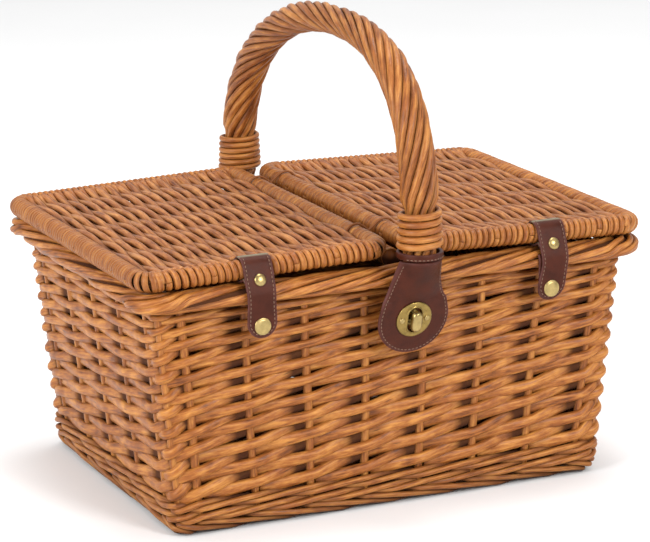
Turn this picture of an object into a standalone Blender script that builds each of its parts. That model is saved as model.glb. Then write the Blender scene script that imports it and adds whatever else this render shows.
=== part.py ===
"""A willow picnic basket with two lids, a roped handle and leather fastenings.

Lengths are in metres and +Z is up. The basket stands on z = 0 with its front
towards -Y. The lids meet over a cross bar that runs from front to back at x = 0.
"""
import math
from collections import namedtuple

import bmesh
import bpy
from mathutils import Matrix, Vector

# Fits shared by every piece
SEAT_GAP = 0.0003
MERGE_DISTANCE = 0.00002
CUT_OVERRUN = 0.004

# Woven wall, measured on its outer face
BASE_HALF_X = 0.1858
BASE_HALF_Y = 0.1370
TOP_HALF_X = 0.2043
TOP_HALF_Y = 0.1435
WALL_HEIGHT = 0.1810
WALL_CORNER_RADIUS = 0.0130
WEAVE_THICKNESS = 0.0070
ROW_DEPTH = 0.0024
ROW_RISE_SHARE = 0.28
SIDE_ROWS = 11
WALE_ROWS = 3
WALE_HEIGHT = 0.0200

# Foot border and base
FOOT_HEIGHT = 0.0090
FOOT_WIDTH = 0.0105
FOOT_EDGE_RADIUS = 0.0030
BASE_THICKNESS = 0.0062
BASE_LIFT = 0.0020
BASE_STICKS = 6
BASE_RIDGE = 0.0012

# Upright stakes inside the weave
STAKE_RADIUS = 0.0030
STAKE_OVERLAP = 0.0012
FRONT_STAKES = 8
END_STAKES = 5
END_STAKE_SPREAD_SHARE = 0.80

# Rolled top border, an oval bundle of rods
BORDER_PROUD = 0.0150
BORDER_HALF_WIDTH = 0.0132
BORDER_HALF_HEIGHT = 0.0087
BORDER_GROOVE = 0.0012
BORDER_RODS = 5
BORDER_LAY = 0.2900
BORDER_STATIONS = 76

# Lids
LID_BAR_RADIUS = 0.0080
LID_OVERHANG_X = 0.0057
LID_OVERHANG_Y = 0.0015
LID_RISE = 0.0051
LID_CORNER_RADIUS = 0.0130
LID_WEAVE_THICKNESS = 0.0130
LID_STICKS = 6
LID_RIDGE = 0.0014
HINGE_X = 0.0142

# Cross bar below the seam, and the ties that the lids turn in
CROSS_BAR_RADIUS = 0.0080
CROSS_BAR_DROP = 0.0120
TIE_RADIUS = 0.0010
TIE_CLEARANCE = 0.0004
TIE_Y = 0.0950
TIE_STAGGER = 0.0040

# Roped handle
HANDLE_X = 0.0042
HANDLE_STANDOFF = 0.0145
HANDLE_SPRING_Z = 0.2294
HANDLE_RISE = 0.1398
HANDLE_LEAN = 0.0284
HANDLE_FULLNESS = 2.27
HANDLE_APEX_RADIUS = 0.0114
HANDLE_LEG_RADIUS = 0.0144
HANDLE_SWELL_LENGTH = 0.0060
HANDLE_PASS_RADIUS = 0.0066
HANDLE_LOCK_RADIUS = 0.0066
HANDLE_TAIL_RADIUS = 0.0052
HANDLE_PASS_CLEARANCE = 0.0008
HANDLE_LOCK_CLEARANCE = 0.0016
HANDLE_TAIL_Z = 0.1450
HANDLE_RODS = 10
HANDLE_GROOVE_SHARE = 0.15
HANDLE_LAY = 0.1750
HANDLE_ARCH_STEPS = 22
HANDLE_LEG_STEPS = 6
HANDLE_TAIL_STEPS = 9

# Cane bindings on the handle's legs
FRONT_BINDING_Z = 0.2150
FRONT_BINDING_TURNS = 4.9
FRONT_BINDING_PITCH = 0.0057
FRONT_CANE_RADIUS = 0.00255
FRONT_NECK_FOOT_RADIUS = 0.0130
FRONT_NECK_TOP_RADIUS = 0.0114
REAR_BINDING_Z = 0.2097
REAR_BINDING_TURNS = 5.9
REAR_BINDING_PITCH = 0.00485
REAR_CANE_RADIUS = 0.00218
REAR_NECK_FOOT_RADIUS = 0.0140
REAR_NECK_TOP_RADIUS = 0.0124
BINDING_POINTS_PER_TURN = 24
BINDING_START_ANGLE = math.radians(155.0)

# Leather collar and hanging tab on the front leg
COLLAR_HEIGHT = 0.0050
COLLAR_INNER_RADIUS = 0.0150
COLLAR_THICKNESS = 0.0032
COLLAR_PLAY = 0.0004
TAB_THICKNESS = 0.0024
TAB_NECK_HALF_WIDTH = 0.0180
TAB_ROUND_RADIUS = 0.0298
TAB_NECK_WRAP = 0.0150
TAB_KNEE_Z = 0.1740
TAB_KNEE_LENGTH = 0.0040
TAB_WALL_ANGLE = math.radians(13.0)
TAB_END_ANGLE = math.radians(84.0)
TAB_FOOT_Z = 0.1298
TAB_FOOT_CLEARANCE = 0.0110

# Turn lock on the tab
CLASP_PLATE_RADIUS = 0.0150
CLASP_PLATE_THICKNESS = 0.0012
CLASP_PLATE_Z = 0.1583
SLOT_HALF_WIDTH = 0.0058
SLOT_HALF_LENGTH = 0.0105
SLOT_RIM = 0.0016
SLOT_RIM_HEIGHT = 0.0014
BUTTON_HALF_LENGTH = 0.0088
BUTTON_HALF_WIDTH = 0.0042
BUTTON_HEIGHT = 0.0050
BUTTON_LIFT = 0.0006
BUTTON_STEM_RADIUS = 0.0024
CLASP_BASE_RADIUS = 0.0070
CLASP_BASE_THICKNESS = 0.0016
CLASP_SOCKET_DEPTH = 0.0010

# Leather straps, their rivets and their snaps
LEFT_STRAP_X = 0.1220
RIGHT_STRAP_X = 0.1288
RIGHT_STRAP_SLANT = 0.0055
STRAP_HALF_WIDTH = 0.01225
STRAP_THICKNESS = 0.0018
STRAP_FOOT_Z = 0.1585
STRAP_KNEE_Z = 0.1925
STRAP_BEND_Z = 0.1885
STRAP_DOUBLED_LENGTH = 0.0120
RIVET_Z = 0.2025
RIVET_HEAD_RADIUS = 0.0048
RIVET_HEAD_HEIGHT = 0.0024
RIVET_SHANK_RADIUS = 0.0016
SNAP_Z = 0.1680
SNAP_CAP_RADIUS = 0.0068
SNAP_CAP_HEIGHT = 0.0014
SNAP_POST_RADIUS = 0.0022
KEEPER_THICKNESS = 0.0015
KEEPER_HALF_WIDTH = 0.0100
KEEPER_FOOT_RISE = 0.0030
KEEPER_WRAP_ANGLE = math.radians(30.0)

# Smoothness of round forms
CORNER_STEPS = 4
LOOP_STEPS = 18
ROUND_SIDES = 16
ROD_SIDES = 8
FULL_TURN = 2.0 * math.pi
QUARTER_TURN = 0.5 * math.pi

# Heights that follow from the sizes above
BORDER_INSET = BORDER_PROUD - BORDER_HALF_WIDTH
BORDER_SHARE = BORDER_INSET / BORDER_HALF_WIDTH
BORDER_Z = WALL_HEIGHT + SEAT_GAP + BORDER_HALF_HEIGHT * math.sqrt(1.0 - BORDER_SHARE ** 2)
BORDER_TOP_Z = BORDER_Z + BORDER_HALF_HEIGHT
BORDER_OUTER_Y = TOP_HALF_Y + BORDER_PROUD
LID_OUTER_X = TOP_HALF_X + LID_OVERHANG_X
LID_HALF_DEPTH = TOP_HALF_Y + LID_OVERHANG_Y
HANDLE_HALF_SPAN = BORDER_OUTER_Y + HANDLE_STANDOFF
LID_OUTER_Z = BORDER_TOP_Z + SEAT_GAP + LID_BAR_RADIUS
HINGE_Z = LID_OUTER_Z + LID_RISE
LID_SPAN = math.hypot(LID_OUTER_X - HINGE_X, LID_RISE)
LID_TILT = math.atan2(LID_RISE, LID_OUTER_X - HINGE_X)
CROSS_BAR_Z = HINGE_Z - CROSS_BAR_DROP

COLLAR_Z = FRONT_BINDING_Z - COLLAR_PLAY - COLLAR_HEIGHT

# Places that follow for the straps and keepers
TAB_LEAN_ANGLE = math.atan2(TOP_HALF_Y - BASE_HALF_Y, WALL_HEIGHT) + TAB_WALL_ANGLE
KEEPER_FRONT_Y = BORDER_OUTER_Y + SEAT_GAP + KEEPER_THICKNESS
STRAP_PLANE_Y = KEEPER_FRONT_Y + SEAT_GAP + STRAP_THICKNESS / 2.0
STRAP_HANG = STRAP_PLANE_Y - LID_HALF_DEPTH
STRAP_RING_RADIUS = LID_BAR_RADIUS + TIE_CLEARANCE + STRAP_THICKNESS


Leg = namedtuple("Leg", "side foot_z turns pitch cane neck_foot neck_top")
FRONT_LEG = Leg(-1, FRONT_BINDING_Z, FRONT_BINDING_TURNS, FRONT_BINDING_PITCH, FRONT_CANE_RADIUS,
                FRONT_NECK_FOOT_RADIUS, FRONT_NECK_TOP_RADIUS)
REAR_LEG = Leg(1, REAR_BINDING_Z, REAR_BINDING_TURNS, REAR_BINDING_PITCH, REAR_CANE_RADIUS,
               REAR_NECK_FOOT_RADIUS, REAR_NECK_TOP_RADIUS)

Hanger = namedtuple("Hanger", "side label x slant")
LEFT_HANGER = Hanger(-1, "left", LEFT_STRAP_X, 0.0)
RIGHT_HANGER = Hanger(1, "right", RIGHT_STRAP_X, RIGHT_STRAP_SLANT)


def clear_scene():
    """Remove the objects that the scene starts with."""
    for item in list(bpy.data.objects):
        bpy.data.objects.remove(item, do_unlink=True)


def make_collection(name):
    """Make a collection below the scene's own."""
    group = bpy.data.collections.new(name)
    bpy.context.scene.collection.children.link(group)
    return group


def make_material(name, colour, roughness, metallic=0.0):
    """A Principled material with one colour, roughness and metallic value."""
    material = bpy.data.materials.new(name)
    material.use_nodes = True
    shader = material.node_tree.nodes["Principled BSDF"]
    shader.inputs["Base Color"].default_value = (*colour, 1.0)
    shader.inputs["Roughness"].default_value = roughness
    shader.inputs["Metallic"].default_value = metallic
    material.diffuse_color = (*colour, 1.0)
    return material


clear_scene()
PARTS = make_collection("pie_basket")
CUTTERS = make_collection("cutters")

WILLOW = make_material("willow", (0.56, 0.27, 0.10), 0.55)
WILLOW_STAKE = make_material("willow_stake", (0.48, 0.22, 0.08), 0.60)
CANE = make_material("cane", (0.60, 0.28, 0.09), 0.42)
LEATHER = make_material("leather", (0.090, 0.036, 0.026), 0.55)
BRASS = make_material("brass", (0.62, 0.47, 0.20), 0.32, 1.0)


def add_object(name, data, material, group=None, parent=None):
    """Link new geometry to a collection with its material and parent."""
    item = bpy.data.objects.new(name, data)
    (group or PARTS).objects.link(item)
    if material is not None and not data.materials:
        data.materials.append(material)
    item.parent = parent
    return item


def add_pivot(name, place, turn=0.0, parent=None):
    """An empty on a joint's axis, turned about Y."""
    pivot = bpy.data.objects.new(name, None)
    PARTS.objects.link(pivot)
    pivot.parent = parent
    pivot.location = place
    pivot.rotation_euler = (0.0, turn, 0.0)
    return pivot


def skin(rings, closed):
    """A mesh through rings of points, closed on itself or capped at both ends."""
    mesh = bpy.data.meshes.new("skin")
    work = bmesh.new()
    loops = [[work.verts.new(point) for point in ring] for ring in rings]
    pairs = list(zip(loops, loops[1:]))
    if closed:
        pairs.append((loops[-1], loops[0]))
    else:
        work.faces.new(loops[0])
        work.faces.new(loops[-1])
    for near, far in pairs:
        for index in range(len(near)):
            after = (index + 1) % len(near)
            work.faces.new((near[index], near[after], far[after], far[index]))
    bmesh.ops.recalc_face_normals(work, faces=work.faces)
    work.to_mesh(mesh)
    work.free()
    return mesh


def shade_round(item, angle=math.radians(40.0)):
    """Shade smooth, but keep the real edges sharp."""
    item.data.shade_smooth()
    item.data.set_sharp_from_angle(angle=angle)


def rounded_rectangle(half_x, half_y, radius, straight_steps=1):
    """Points and outward directions round a rectangle with round corners."""
    corner_x = half_x - radius
    corner_y = half_y - radius
    centres = ((corner_x, corner_y), (-corner_x, corner_y), (-corner_x, -corner_y), (corner_x, -corner_y))
    stations = []
    for quarter, (centre_x, centre_y) in enumerate(centres):
        for step in range(CORNER_STEPS + 1):
            angle = QUARTER_TURN * (quarter + step / CORNER_STEPS)
            out = Vector((math.cos(angle), math.sin(angle)))
            stations.append((Vector((centre_x, centre_y)) + radius * out, out))
        next_x, next_y = centres[(quarter + 1) % len(centres)]
        start, out = stations[-1]
        end = Vector((next_x, next_y)) + radius * out
        for step in range(1, straight_steps):
            stations.append((start.lerp(end, step / straight_steps), out))
    return stations


def add_tube(name, points, radius, material, cyclic=False, resolution=2, parent=None):
    """A round rod along points, as a curve with a bevel."""
    curve = bpy.data.curves.new(name, "CURVE")
    curve.dimensions = "3D"
    curve.bevel_depth = radius
    curve.bevel_resolution = resolution
    curve.use_fill_caps = not cyclic
    spline = curve.splines.new("POLY")
    spline.points.add(len(points) - 1)
    for knot, point in zip(spline.points, points):
        knot.co = (*point, 1.0)
    spline.use_cyclic_u = cyclic
    spline.use_smooth = True
    return add_object(name, curve, material, parent=parent)


def add_turned(name, profile, material, group=None, parent=None):
    """Turn a profile of (radius, height) about Z, listed from top to bottom."""
    mesh = bpy.data.meshes.new(name)
    work = bmesh.new()
    spots = [work.verts.new((radius, 0.0, height)) for radius, height in profile]
    for near, far in zip(spots, spots[1:]):
        work.edges.new((near, far))
    work.to_mesh(mesh)
    work.free()
    item = add_object(name, mesh, material, group, parent)
    screw = item.modifiers.new("turn", "SCREW")
    screw.steps = ROUND_SIDES
    screw.render_steps = ROUND_SIDES
    screw.use_merge_vertices = True
    screw.merge_threshold = MERGE_DISTANCE
    return item


def add_cutter(name, mesh, place=(0.0, 0.0, 0.0), matrix=None):
    """A hidden solid for a Boolean."""
    cutter = add_object(name, mesh, None, CUTTERS)
    if matrix is None:
        cutter.location = place
    else:
        cutter.matrix_world = matrix
    cutter.hide_render = True
    cutter.display_type = "WIRE"
    return cutter


def cut(item, cutter, operation="DIFFERENCE"):
    """Cut, join or trim a solid with another."""
    step = item.modifiers.new(cutter.name, "BOOLEAN")
    step.operation = operation
    step.solver = "EXACT"
    step.object = cutter


def cylinder_mesh(radius, depth, sides=ROUND_SIDES):
    """A cylinder along Z, centred on its origin."""
    mesh = bpy.data.meshes.new("cylinder")
    work = bmesh.new()
    bmesh.ops.create_cone(work, cap_ends=True, segments=sides, radius1=radius, radius2=radius, depth=depth)
    work.to_mesh(mesh)
    work.free()
    return mesh


def box_mesh(size_x, size_y, size_z):
    """A box centred on its origin."""
    mesh = bpy.data.meshes.new("box")
    work = bmesh.new()
    bmesh.ops.create_cube(work, size=1.0, matrix=Matrix.Diagonal((size_x, size_y, size_z, 1.0)))
    work.to_mesh(mesh)
    work.free()
    return mesh


def prism_mesh(outline, low, high):
    """A flat outline of (x, y) points, made solid between two heights."""
    rings = [[(spot[0], spot[1], height) for spot in outline] for height in (low, high)]
    return skin(rings, closed=False)


def wall_half(height):
    """Half the wall's outer width and depth at a height."""
    share = height / WALL_HEIGHT
    half_x = BASE_HALF_X + (TOP_HALF_X - BASE_HALF_X) * share
    half_y = BASE_HALF_Y + (TOP_HALF_Y - BASE_HALF_Y) * share
    return half_x, half_y


def wall_ring(height, inset):
    """The wall's outline at a height, moved inwards."""
    half_x, half_y = wall_half(height)
    stations = rounded_rectangle(half_x - inset, half_y - inset, WALL_CORNER_RADIUS - inset)
    return [(spot.x, spot.y, height) for spot, out in stations]


def side_weave():
    """The woven wall: a tapered shell with a rib for each row of weaving."""
    foot = FOOT_HEIGHT + SEAT_GAP
    wale_pitch = WALE_HEIGHT / WALE_ROWS
    row_pitch = (WALL_HEIGHT - foot - WALE_HEIGHT) / SIDE_ROWS
    rings = []
    height = foot
    for pitch, rows in ((wale_pitch, WALE_ROWS), (row_pitch, SIDE_ROWS)):
        for row in range(rows):
            rings.append(wall_ring(height, ROW_DEPTH))
            rings.append(wall_ring(height + pitch * ROW_RISE_SHARE, 0.0))
            rings.append(wall_ring(height + pitch * (1.0 - ROW_RISE_SHARE), 0.0))
            height += pitch
    rings.append(wall_ring(WALL_HEIGHT, ROW_DEPTH / 2.0))
    rings.append(wall_ring(WALL_HEIGHT, WEAVE_THICKNESS))
    rings.append(wall_ring(foot, WEAVE_THICKNESS))
    item = add_object("side_weave", skin(rings, closed=True), WILLOW)
    shade_round(item)


def foot_border():
    """The plaited foot that the basket stands on, with a flat underside."""
    edge = FOOT_EDGE_RADIUS
    low = edge * (1.0 - math.sin(math.pi / 4.0))
    section = [
        (0.0, edge),
        (low, low),
        (edge, 0.0),
        (FOOT_WIDTH - edge, 0.0),
        (FOOT_WIDTH, edge),
        (FOOT_WIDTH, FOOT_HEIGHT - low),
        (FOOT_WIDTH - low, FOOT_HEIGHT),
        (edge, FOOT_HEIGHT),
        (0.0, FOOT_HEIGHT - edge),
    ]
    rings = []
    for spot, out in rounded_rectangle(BASE_HALF_X, BASE_HALF_Y, WALL_CORNER_RADIUS, 3):
        ring = []
        for inset, height in section:
            place = spot - inset * out
            ring.append((place.x, place.y, height))
        rings.append(ring)
    item = add_object("foot_border", skin(rings, closed=True), WILLOW)
    shade_round(item)


def ridged_slab(low_x, high_x, half_y, thickness, sticks, ridge):
    """A woven panel's solid: ridges on both faces where the weave crosses its sticks."""
    half = thickness / 2.0
    steps = sticks * 4
    top = []
    bottom = []
    for step in range(steps + 1):
        share = step / steps
        wave = 0.5 - 0.5 * math.cos(FULL_TURN * sticks * share)
        place = half_y * (2.0 * share - 1.0)
        top.append((place, half - ridge * (1.0 - wave)))
        bottom.append((place, ridge * (1.0 - wave) - half))
    profile = top + bottom[::-1]
    rings = [[(edge, place, height) for place, height in profile] for edge in (low_x, high_x)]
    return skin(rings, closed=False)


def base_panel():
    """The woven base, held inside the foot border."""
    half_x = BASE_HALF_X - FOOT_WIDTH - SEAT_GAP
    half_y = BASE_HALF_Y - FOOT_WIDTH - SEAT_GAP
    mesh = ridged_slab(-half_x, half_x, half_y, BASE_THICKNESS, BASE_STICKS, BASE_RIDGE)
    item = add_object("base_panel", mesh, WILLOW)
    item.location.z = BASE_LIFT + BASE_THICKNESS / 2.0
    radius = WALL_CORNER_RADIUS - FOOT_WIDTH
    outline = [spot for spot, out in rounded_rectangle(half_x, half_y, radius)]
    cutter = add_cutter("base_outline", prism_mesh(outline, -BASE_THICKNESS, BASE_THICKNESS), item.location)
    cut(item, cutter, "INTERSECT")


def add_stake(name, foot_spot, top_spot, foot_z, top_z):
    """One straight stake between two places in plan."""
    points = [(foot_spot[0], foot_spot[1], foot_z), (top_spot[0], top_spot[1], top_z)]
    add_tube(name, points, STAKE_RADIUS, WILLOW_STAKE)


def stakes():
    """The upright stakes against the weave: front, back, both ends and corners."""
    foot_z = FOOT_HEIGHT + SEAT_GAP
    top_z = WALL_HEIGHT + STAKE_OVERLAP
    inset = WEAVE_THICKNESS + SEAT_GAP + STAKE_RADIUS
    foot_x, foot_y = wall_half(foot_z)
    top_x, top_y = wall_half(top_z)
    for index in range(FRONT_STAKES):
        share = (2 * index + 1) / FRONT_STAKES - 1.0
        for side, label in ((-1, "front"), (1, "back")):
            foot_spot = (share * foot_x, side * (foot_y - inset))
            top_spot = (share * top_x, side * (top_y - inset))
            add_stake(f"{label}_stake_{index + 1}", foot_spot, top_spot, foot_z, top_z)
    for index in range(END_STAKES):
        share = END_STAKE_SPREAD_SHARE * (2.0 * index / (END_STAKES - 1) - 1.0)
        for side, label in ((-1, "left"), (1, "right")):
            foot_spot = (side * (foot_x - inset), share * foot_y)
            top_spot = (side * (top_x - inset), share * top_y)
            add_stake(f"{label}_stake_{index + 1}", foot_spot, top_spot, foot_z, top_z)
    reach = WALL_CORNER_RADIUS - (WALL_CORNER_RADIUS - inset) * math.cos(math.pi / 4.0)
    for side_x, label_x in ((-1, "left"), (1, "right")):
        for side_y, label_y in ((-1, "front"), (1, "back")):
            foot_spot = (side_x * (foot_x - reach), side_y * (foot_y - reach))
            top_spot = (side_x * (top_x - reach), side_y * (top_y - reach))
            add_stake(f"corner_stake_{label_y}_{label_x}", foot_spot, top_spot, foot_z, top_z)


def top_border():
    """The rolled border: an oval bundle of rods laid with a twist round the rim."""
    half_x = TOP_HALF_X + BORDER_INSET
    half_y = TOP_HALF_Y + BORDER_INSET
    radius = WALL_CORNER_RADIUS + BORDER_INSET
    corners = rounded_rectangle(half_x, half_y, radius)
    straight = (BORDER_STATIONS - len(corners)) // 4 + 1
    stations = rounded_rectangle(half_x, half_y, radius, straight)
    lengths = [0.0]
    for (near, out), (far, next_out) in zip(stations, stations[1:] + stations[:1]):
        lengths.append(lengths[-1] + (far - near).length)
    laps = round(lengths[-1] * BORDER_RODS / BORDER_LAY)
    sides = BORDER_RODS * 2
    rings = []
    for (spot, out), length in zip(stations, lengths):
        turn = FULL_TURN * laps / BORDER_RODS * length / lengths[-1]
        ring = []
        for side in range(sides):
            angle = FULL_TURN * side / sides + turn
            groove = BORDER_GROOVE * (side % 2)
            reach = (BORDER_HALF_WIDTH - groove) * math.cos(angle)
            rise = (BORDER_HALF_HEIGHT - groove) * math.sin(angle)
            place = spot + reach * out
            ring.append((place.x, place.y, BORDER_Z + rise))
        rings.append(ring)
    shift = (2 * laps) % sides
    closing = rings[0][-shift:] + rings[0][:-shift] if shift else rings[0]
    return rings, closing


def twisted_ring(name, rings, closing, material):
    """Skin a ring whose section comes home turned by some of its lobes."""
    mesh = bpy.data.meshes.new(name)
    work = bmesh.new()
    loops = [[work.verts.new(point) for point in ring] for ring in rings]
    first = {tuple(point): vert for point, vert in zip(rings[0], loops[0])}
    loops.append([first[tuple(point)] for point in closing])
    for near, far in zip(loops, loops[1:]):
        for index in range(len(near)):
            after = (index + 1) % len(near)
            work.faces.new((near[index], near[after], far[after], far[index]))
    bmesh.ops.recalc_face_normals(work, faces=work.faces)
    work.to_mesh(mesh)
    work.free()
    return add_object(name, mesh, material)


def cross_bar():
    """The bar under the seam, seated between the border's inner shoulders."""
    low = CROSS_BAR_Z - CROSS_BAR_RADIUS - BORDER_Z
    shoulder = BORDER_HALF_WIDTH * math.sqrt(1.0 - (low / BORDER_HALF_HEIGHT) ** 2)
    half = TOP_HALF_Y + BORDER_INSET - shoulder - SEAT_GAP
    item = add_object("centre_cross_bar", cylinder_mesh(CROSS_BAR_RADIUS, 2.0 * half), CANE)
    item.location.z = CROSS_BAR_Z
    item.rotation_euler.x = QUARTER_TURN
    shade_round(item)


def lid(hanger):
    """A lid on its pivot: a frame of round bars with a woven panel inside it."""
    side = hanger.side
    label = hanger.label
    pivot = add_pivot(f"{label}_lid_pivot", (side * HINGE_X, 0.0, HINGE_Z), side * LID_TILT)
    middle = side * LID_SPAN / 2.0
    stations = rounded_rectangle(LID_SPAN / 2.0, LID_HALF_DEPTH, LID_CORNER_RADIUS, 3)
    points = [(middle + spot.x, spot.y, 0.0) for spot, out in stations]
    add_tube(f"{label}_lid_frame", points, LID_BAR_RADIUS, CANE, True, 3, pivot)

    inset = LID_BAR_RADIUS + SEAT_GAP
    half_x = LID_SPAN / 2.0 - inset
    half_y = LID_HALF_DEPTH - inset
    mesh = ridged_slab(middle - half_x, middle + half_x, half_y, LID_WEAVE_THICKNESS, LID_STICKS, LID_RIDGE)
    panel = add_object(f"{label}_lid_panel", mesh, WILLOW, parent=pivot)
    bpy.context.view_layer.update()
    stations = rounded_rectangle(half_x, half_y, LID_CORNER_RADIUS - LID_BAR_RADIUS)
    outline = [(middle + spot.x, spot.y) for spot, out in stations]
    mesh = prism_mesh(outline, -LID_WEAVE_THICKNESS, LID_WEAVE_THICKNESS)
    cut(panel, add_cutter(f"{label}_lid_outline", mesh, matrix=pivot.matrix_world), "INTERSECT")

    notch_depth = TIE_CLEARANCE * 2.0 + TIE_RADIUS * 2.0
    notch_width = (TIE_RADIUS + TIE_CLEARANCE) * 2.0
    reach = LID_BAR_RADIUS + notch_depth
    for place in tie_places(side):
        mesh = box_mesh(2.0 * reach, notch_width, LID_WEAVE_THICKNESS * 2.0)
        matrix = pivot.matrix_world @ Matrix.Translation((0.0, place, 0.0))
        cut(panel, add_cutter(f"{label}_tie_notch", mesh, matrix=matrix))
    reach = STRAP_RING_RADIUS + TIE_CLEARANCE
    mesh = box_mesh((STRAP_HALF_WIDTH + TIE_CLEARANCE) * 2.0, 2.0 * reach, LID_WEAVE_THICKNESS * 2.0)
    matrix = pivot.matrix_world @ Matrix.Translation(hanger_place(hanger))
    cut(panel, add_cutter(f"{label}_strap_notch", mesh, matrix=matrix))
    return pivot


def hanger_place(hanger):
    """Where a strap's loop stands on its lid, from the lid's pivot."""
    return Vector((hanger.side * (hanger.x - HINGE_X) / math.cos(LID_TILT), -LID_HALF_DEPTH, 0.0))


def hanger_z(hanger):
    """The height of a strap's loop."""
    return HINGE_Z - (hanger.x - HINGE_X) * math.tan(LID_TILT)


def tie_places(side):
    """Where a lid's two ties stand along the cross bar."""
    return (-TIE_Y + side * TIE_STAGGER, TIE_Y + side * TIE_STAGGER)


def hinge_ties(side, label):
    """Wire ties round the cross bar and a lid's inner bar."""
    reach = TIE_CLEARANCE + TIE_RADIUS
    low = Vector((0.0, CROSS_BAR_Z))
    high = Vector((side * HINGE_X, HINGE_Z))
    lean = math.atan2(high.y - low.y, high.x - low.x)
    points = []
    half_steps = 10
    for centre, radius, start in (
        (high, LID_BAR_RADIUS + reach, lean - QUARTER_TURN),
        (low, CROSS_BAR_RADIUS + reach, lean + QUARTER_TURN),
    ):
        for step in range(half_steps + 1):
            angle = start + math.pi * step / half_steps
            points.append((centre.x + radius * math.cos(angle), centre.y + radius * math.sin(angle)))
    for place, end in zip(tie_places(side), ("front", "back")):
        path = [(across, place, height) for across, height in points]
        add_tube(f"{label}_hinge_tie_{end}", path, TIE_RADIUS, BRASS, True, 1)


def neck_top_z(leg):
    """The height at which a leg's binding ends."""
    return leg.foot_z + leg.turns * leg.pitch + 2.0 * leg.cane


def leg_radius(leg, height):
    """A leg's radius at a height: drawn in where it is bound, and swelling above."""
    top_z = neck_top_z(leg)
    if height < top_z:
        share = max(0.0, (height - leg.foot_z) / (top_z - leg.foot_z))
        return leg.neck_foot + (leg.neck_top - leg.neck_foot) * share
    share = min(1.0, (height - top_z) / HANDLE_SWELL_LENGTH)
    return leg.neck_top + (HANDLE_LEG_RADIUS - leg.neck_top) * share


def tail_knots(leg):
    """Places and radii where a tail passes the border, backs the lock and meets the wall."""
    wall_x, wall_y = wall_half(HANDLE_TAIL_Z)
    lock = tab_frame()
    lock_back = TAB_THICKNESS / 2.0 + SEAT_GAP + CLASP_BASE_THICKNESS
    depth = lock_back + HANDLE_LOCK_CLEARANCE + HANDLE_LOCK_RADIUS
    seat = lock @ Vector((0.0, 0.0, -depth))
    return (
        (HANDLE_HALF_SPAN, HANDLE_SPRING_Z, leg.neck_foot),
        (HANDLE_HALF_SPAN, COLLAR_Z, leg.neck_foot),
        (BORDER_OUTER_Y + HANDLE_PASS_CLEARANCE + HANDLE_PASS_RADIUS, BORDER_Z, HANDLE_PASS_RADIUS),
        (-seat.y, seat.z, HANDLE_LOCK_RADIUS),
        (wall_y + SEAT_GAP + HANDLE_TAIL_RADIUS, HANDLE_TAIL_Z, HANDLE_TAIL_RADIUS),
    )


def between(knots, share):
    """A smooth place between the second knot and the last, for a share from 0 to 1."""
    ends = knots + knots[-1:]
    spans = len(knots) - 2
    span = min(int(share * spans), spans - 1)
    part = share * spans - span
    before, near, far, after = (Vector(knot) for knot in ends[span:span + 4])
    slope_near = (far - before) / 2.0
    slope_far = (after - near) / 2.0
    square = part * part
    cube = square * part
    return (
        (2.0 * cube - 3.0 * square + 1.0) * near
        + (cube - 2.0 * square + part) * slope_near
        + (3.0 * square - 2.0 * cube) * far
        + (cube - square) * slope_far
    )


def bow_station(leg, height):
    """The station (y, z, radius) of a leg or of the bow at a height."""
    rise_share = min(1.0, max(0.0, (height - HANDLE_SPRING_Z) / HANDLE_RISE))
    width_share = (1.0 - rise_share ** HANDLE_FULLNESS) ** (1.0 / HANDLE_FULLNESS)
    along = leg.side * HANDLE_HALF_SPAN * width_share - HANDLE_LEAN * rise_share ** 2
    taper = (HANDLE_LEG_RADIUS - HANDLE_APEX_RADIUS) * (1.0 - width_share)
    return along, height, leg_radius(leg, height) - taper


def half_handle(leg):
    """Stations (y, z, radius) of one half of the handle, from its tail to its apex."""
    knots = tail_knots(leg)
    stations = []
    for step in range(HANDLE_TAIL_STEPS):
        across, height, radius = between(knots, 1.0 - step / HANDLE_TAIL_STEPS)
        stations.append((leg.side * across, height, radius))
    top_z = neck_top_z(leg)
    for step in range(HANDLE_LEG_STEPS + 1):
        stations.append(bow_station(leg, COLLAR_Z + (top_z - COLLAR_Z) * step / HANDLE_LEG_STEPS))
    swell_z = top_z + HANDLE_SWELL_LENGTH
    stations.append(bow_station(leg, swell_z))
    for step in range(1, HANDLE_ARCH_STEPS + 1):
        angle = QUARTER_TURN * step / HANDLE_ARCH_STEPS
        height = HANDLE_SPRING_Z + HANDLE_RISE * math.sin(angle) ** (2.0 / HANDLE_FULLNESS)
        if height > swell_z + HANDLE_SWELL_LENGTH:
            stations.append(bow_station(leg, height))
    return stations


def handle_line():
    """Stations (y, z, radius) from the front tail, over the arch, to the rear tail."""
    return half_handle(FRONT_LEG) + half_handle(REAR_LEG)[-2::-1]


def handle():
    """The roped handle: rods laid with a twist round the bow, thinner at its tails."""
    line = handle_line()
    sides = HANDLE_RODS * 2
    rings = []
    travelled = 0.0
    for index, (along, height, radius) in enumerate(line):
        before = line[max(index - 1, 0)]
        after = line[min(index + 1, len(line) - 1)]
        heading = Vector((0.0, after[0] - before[0], after[1] - before[1])).normalized()
        outward = Vector((0.0, -heading.z, heading.y))
        across = Vector((1.0, 0.0, 0.0))
        if index:
            travelled += math.hypot(along - before[0], height - before[1])
        turn = FULL_TURN * travelled / HANDLE_LAY
        centre = Vector((HANDLE_X, along, height))
        ring = []
        for side in range(sides):
            angle = FULL_TURN * side / sides - turn
            reach = radius * (1.0 - HANDLE_GROOVE_SHARE * (side % 2))
            ring.append(centre + reach * (math.cos(angle) * across + math.sin(angle) * outward))
        rings.append(ring)
    item = add_object("handle_rope", skin(rings, closed=False), CANE)
    shade_round(item, math.radians(60.0))


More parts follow.
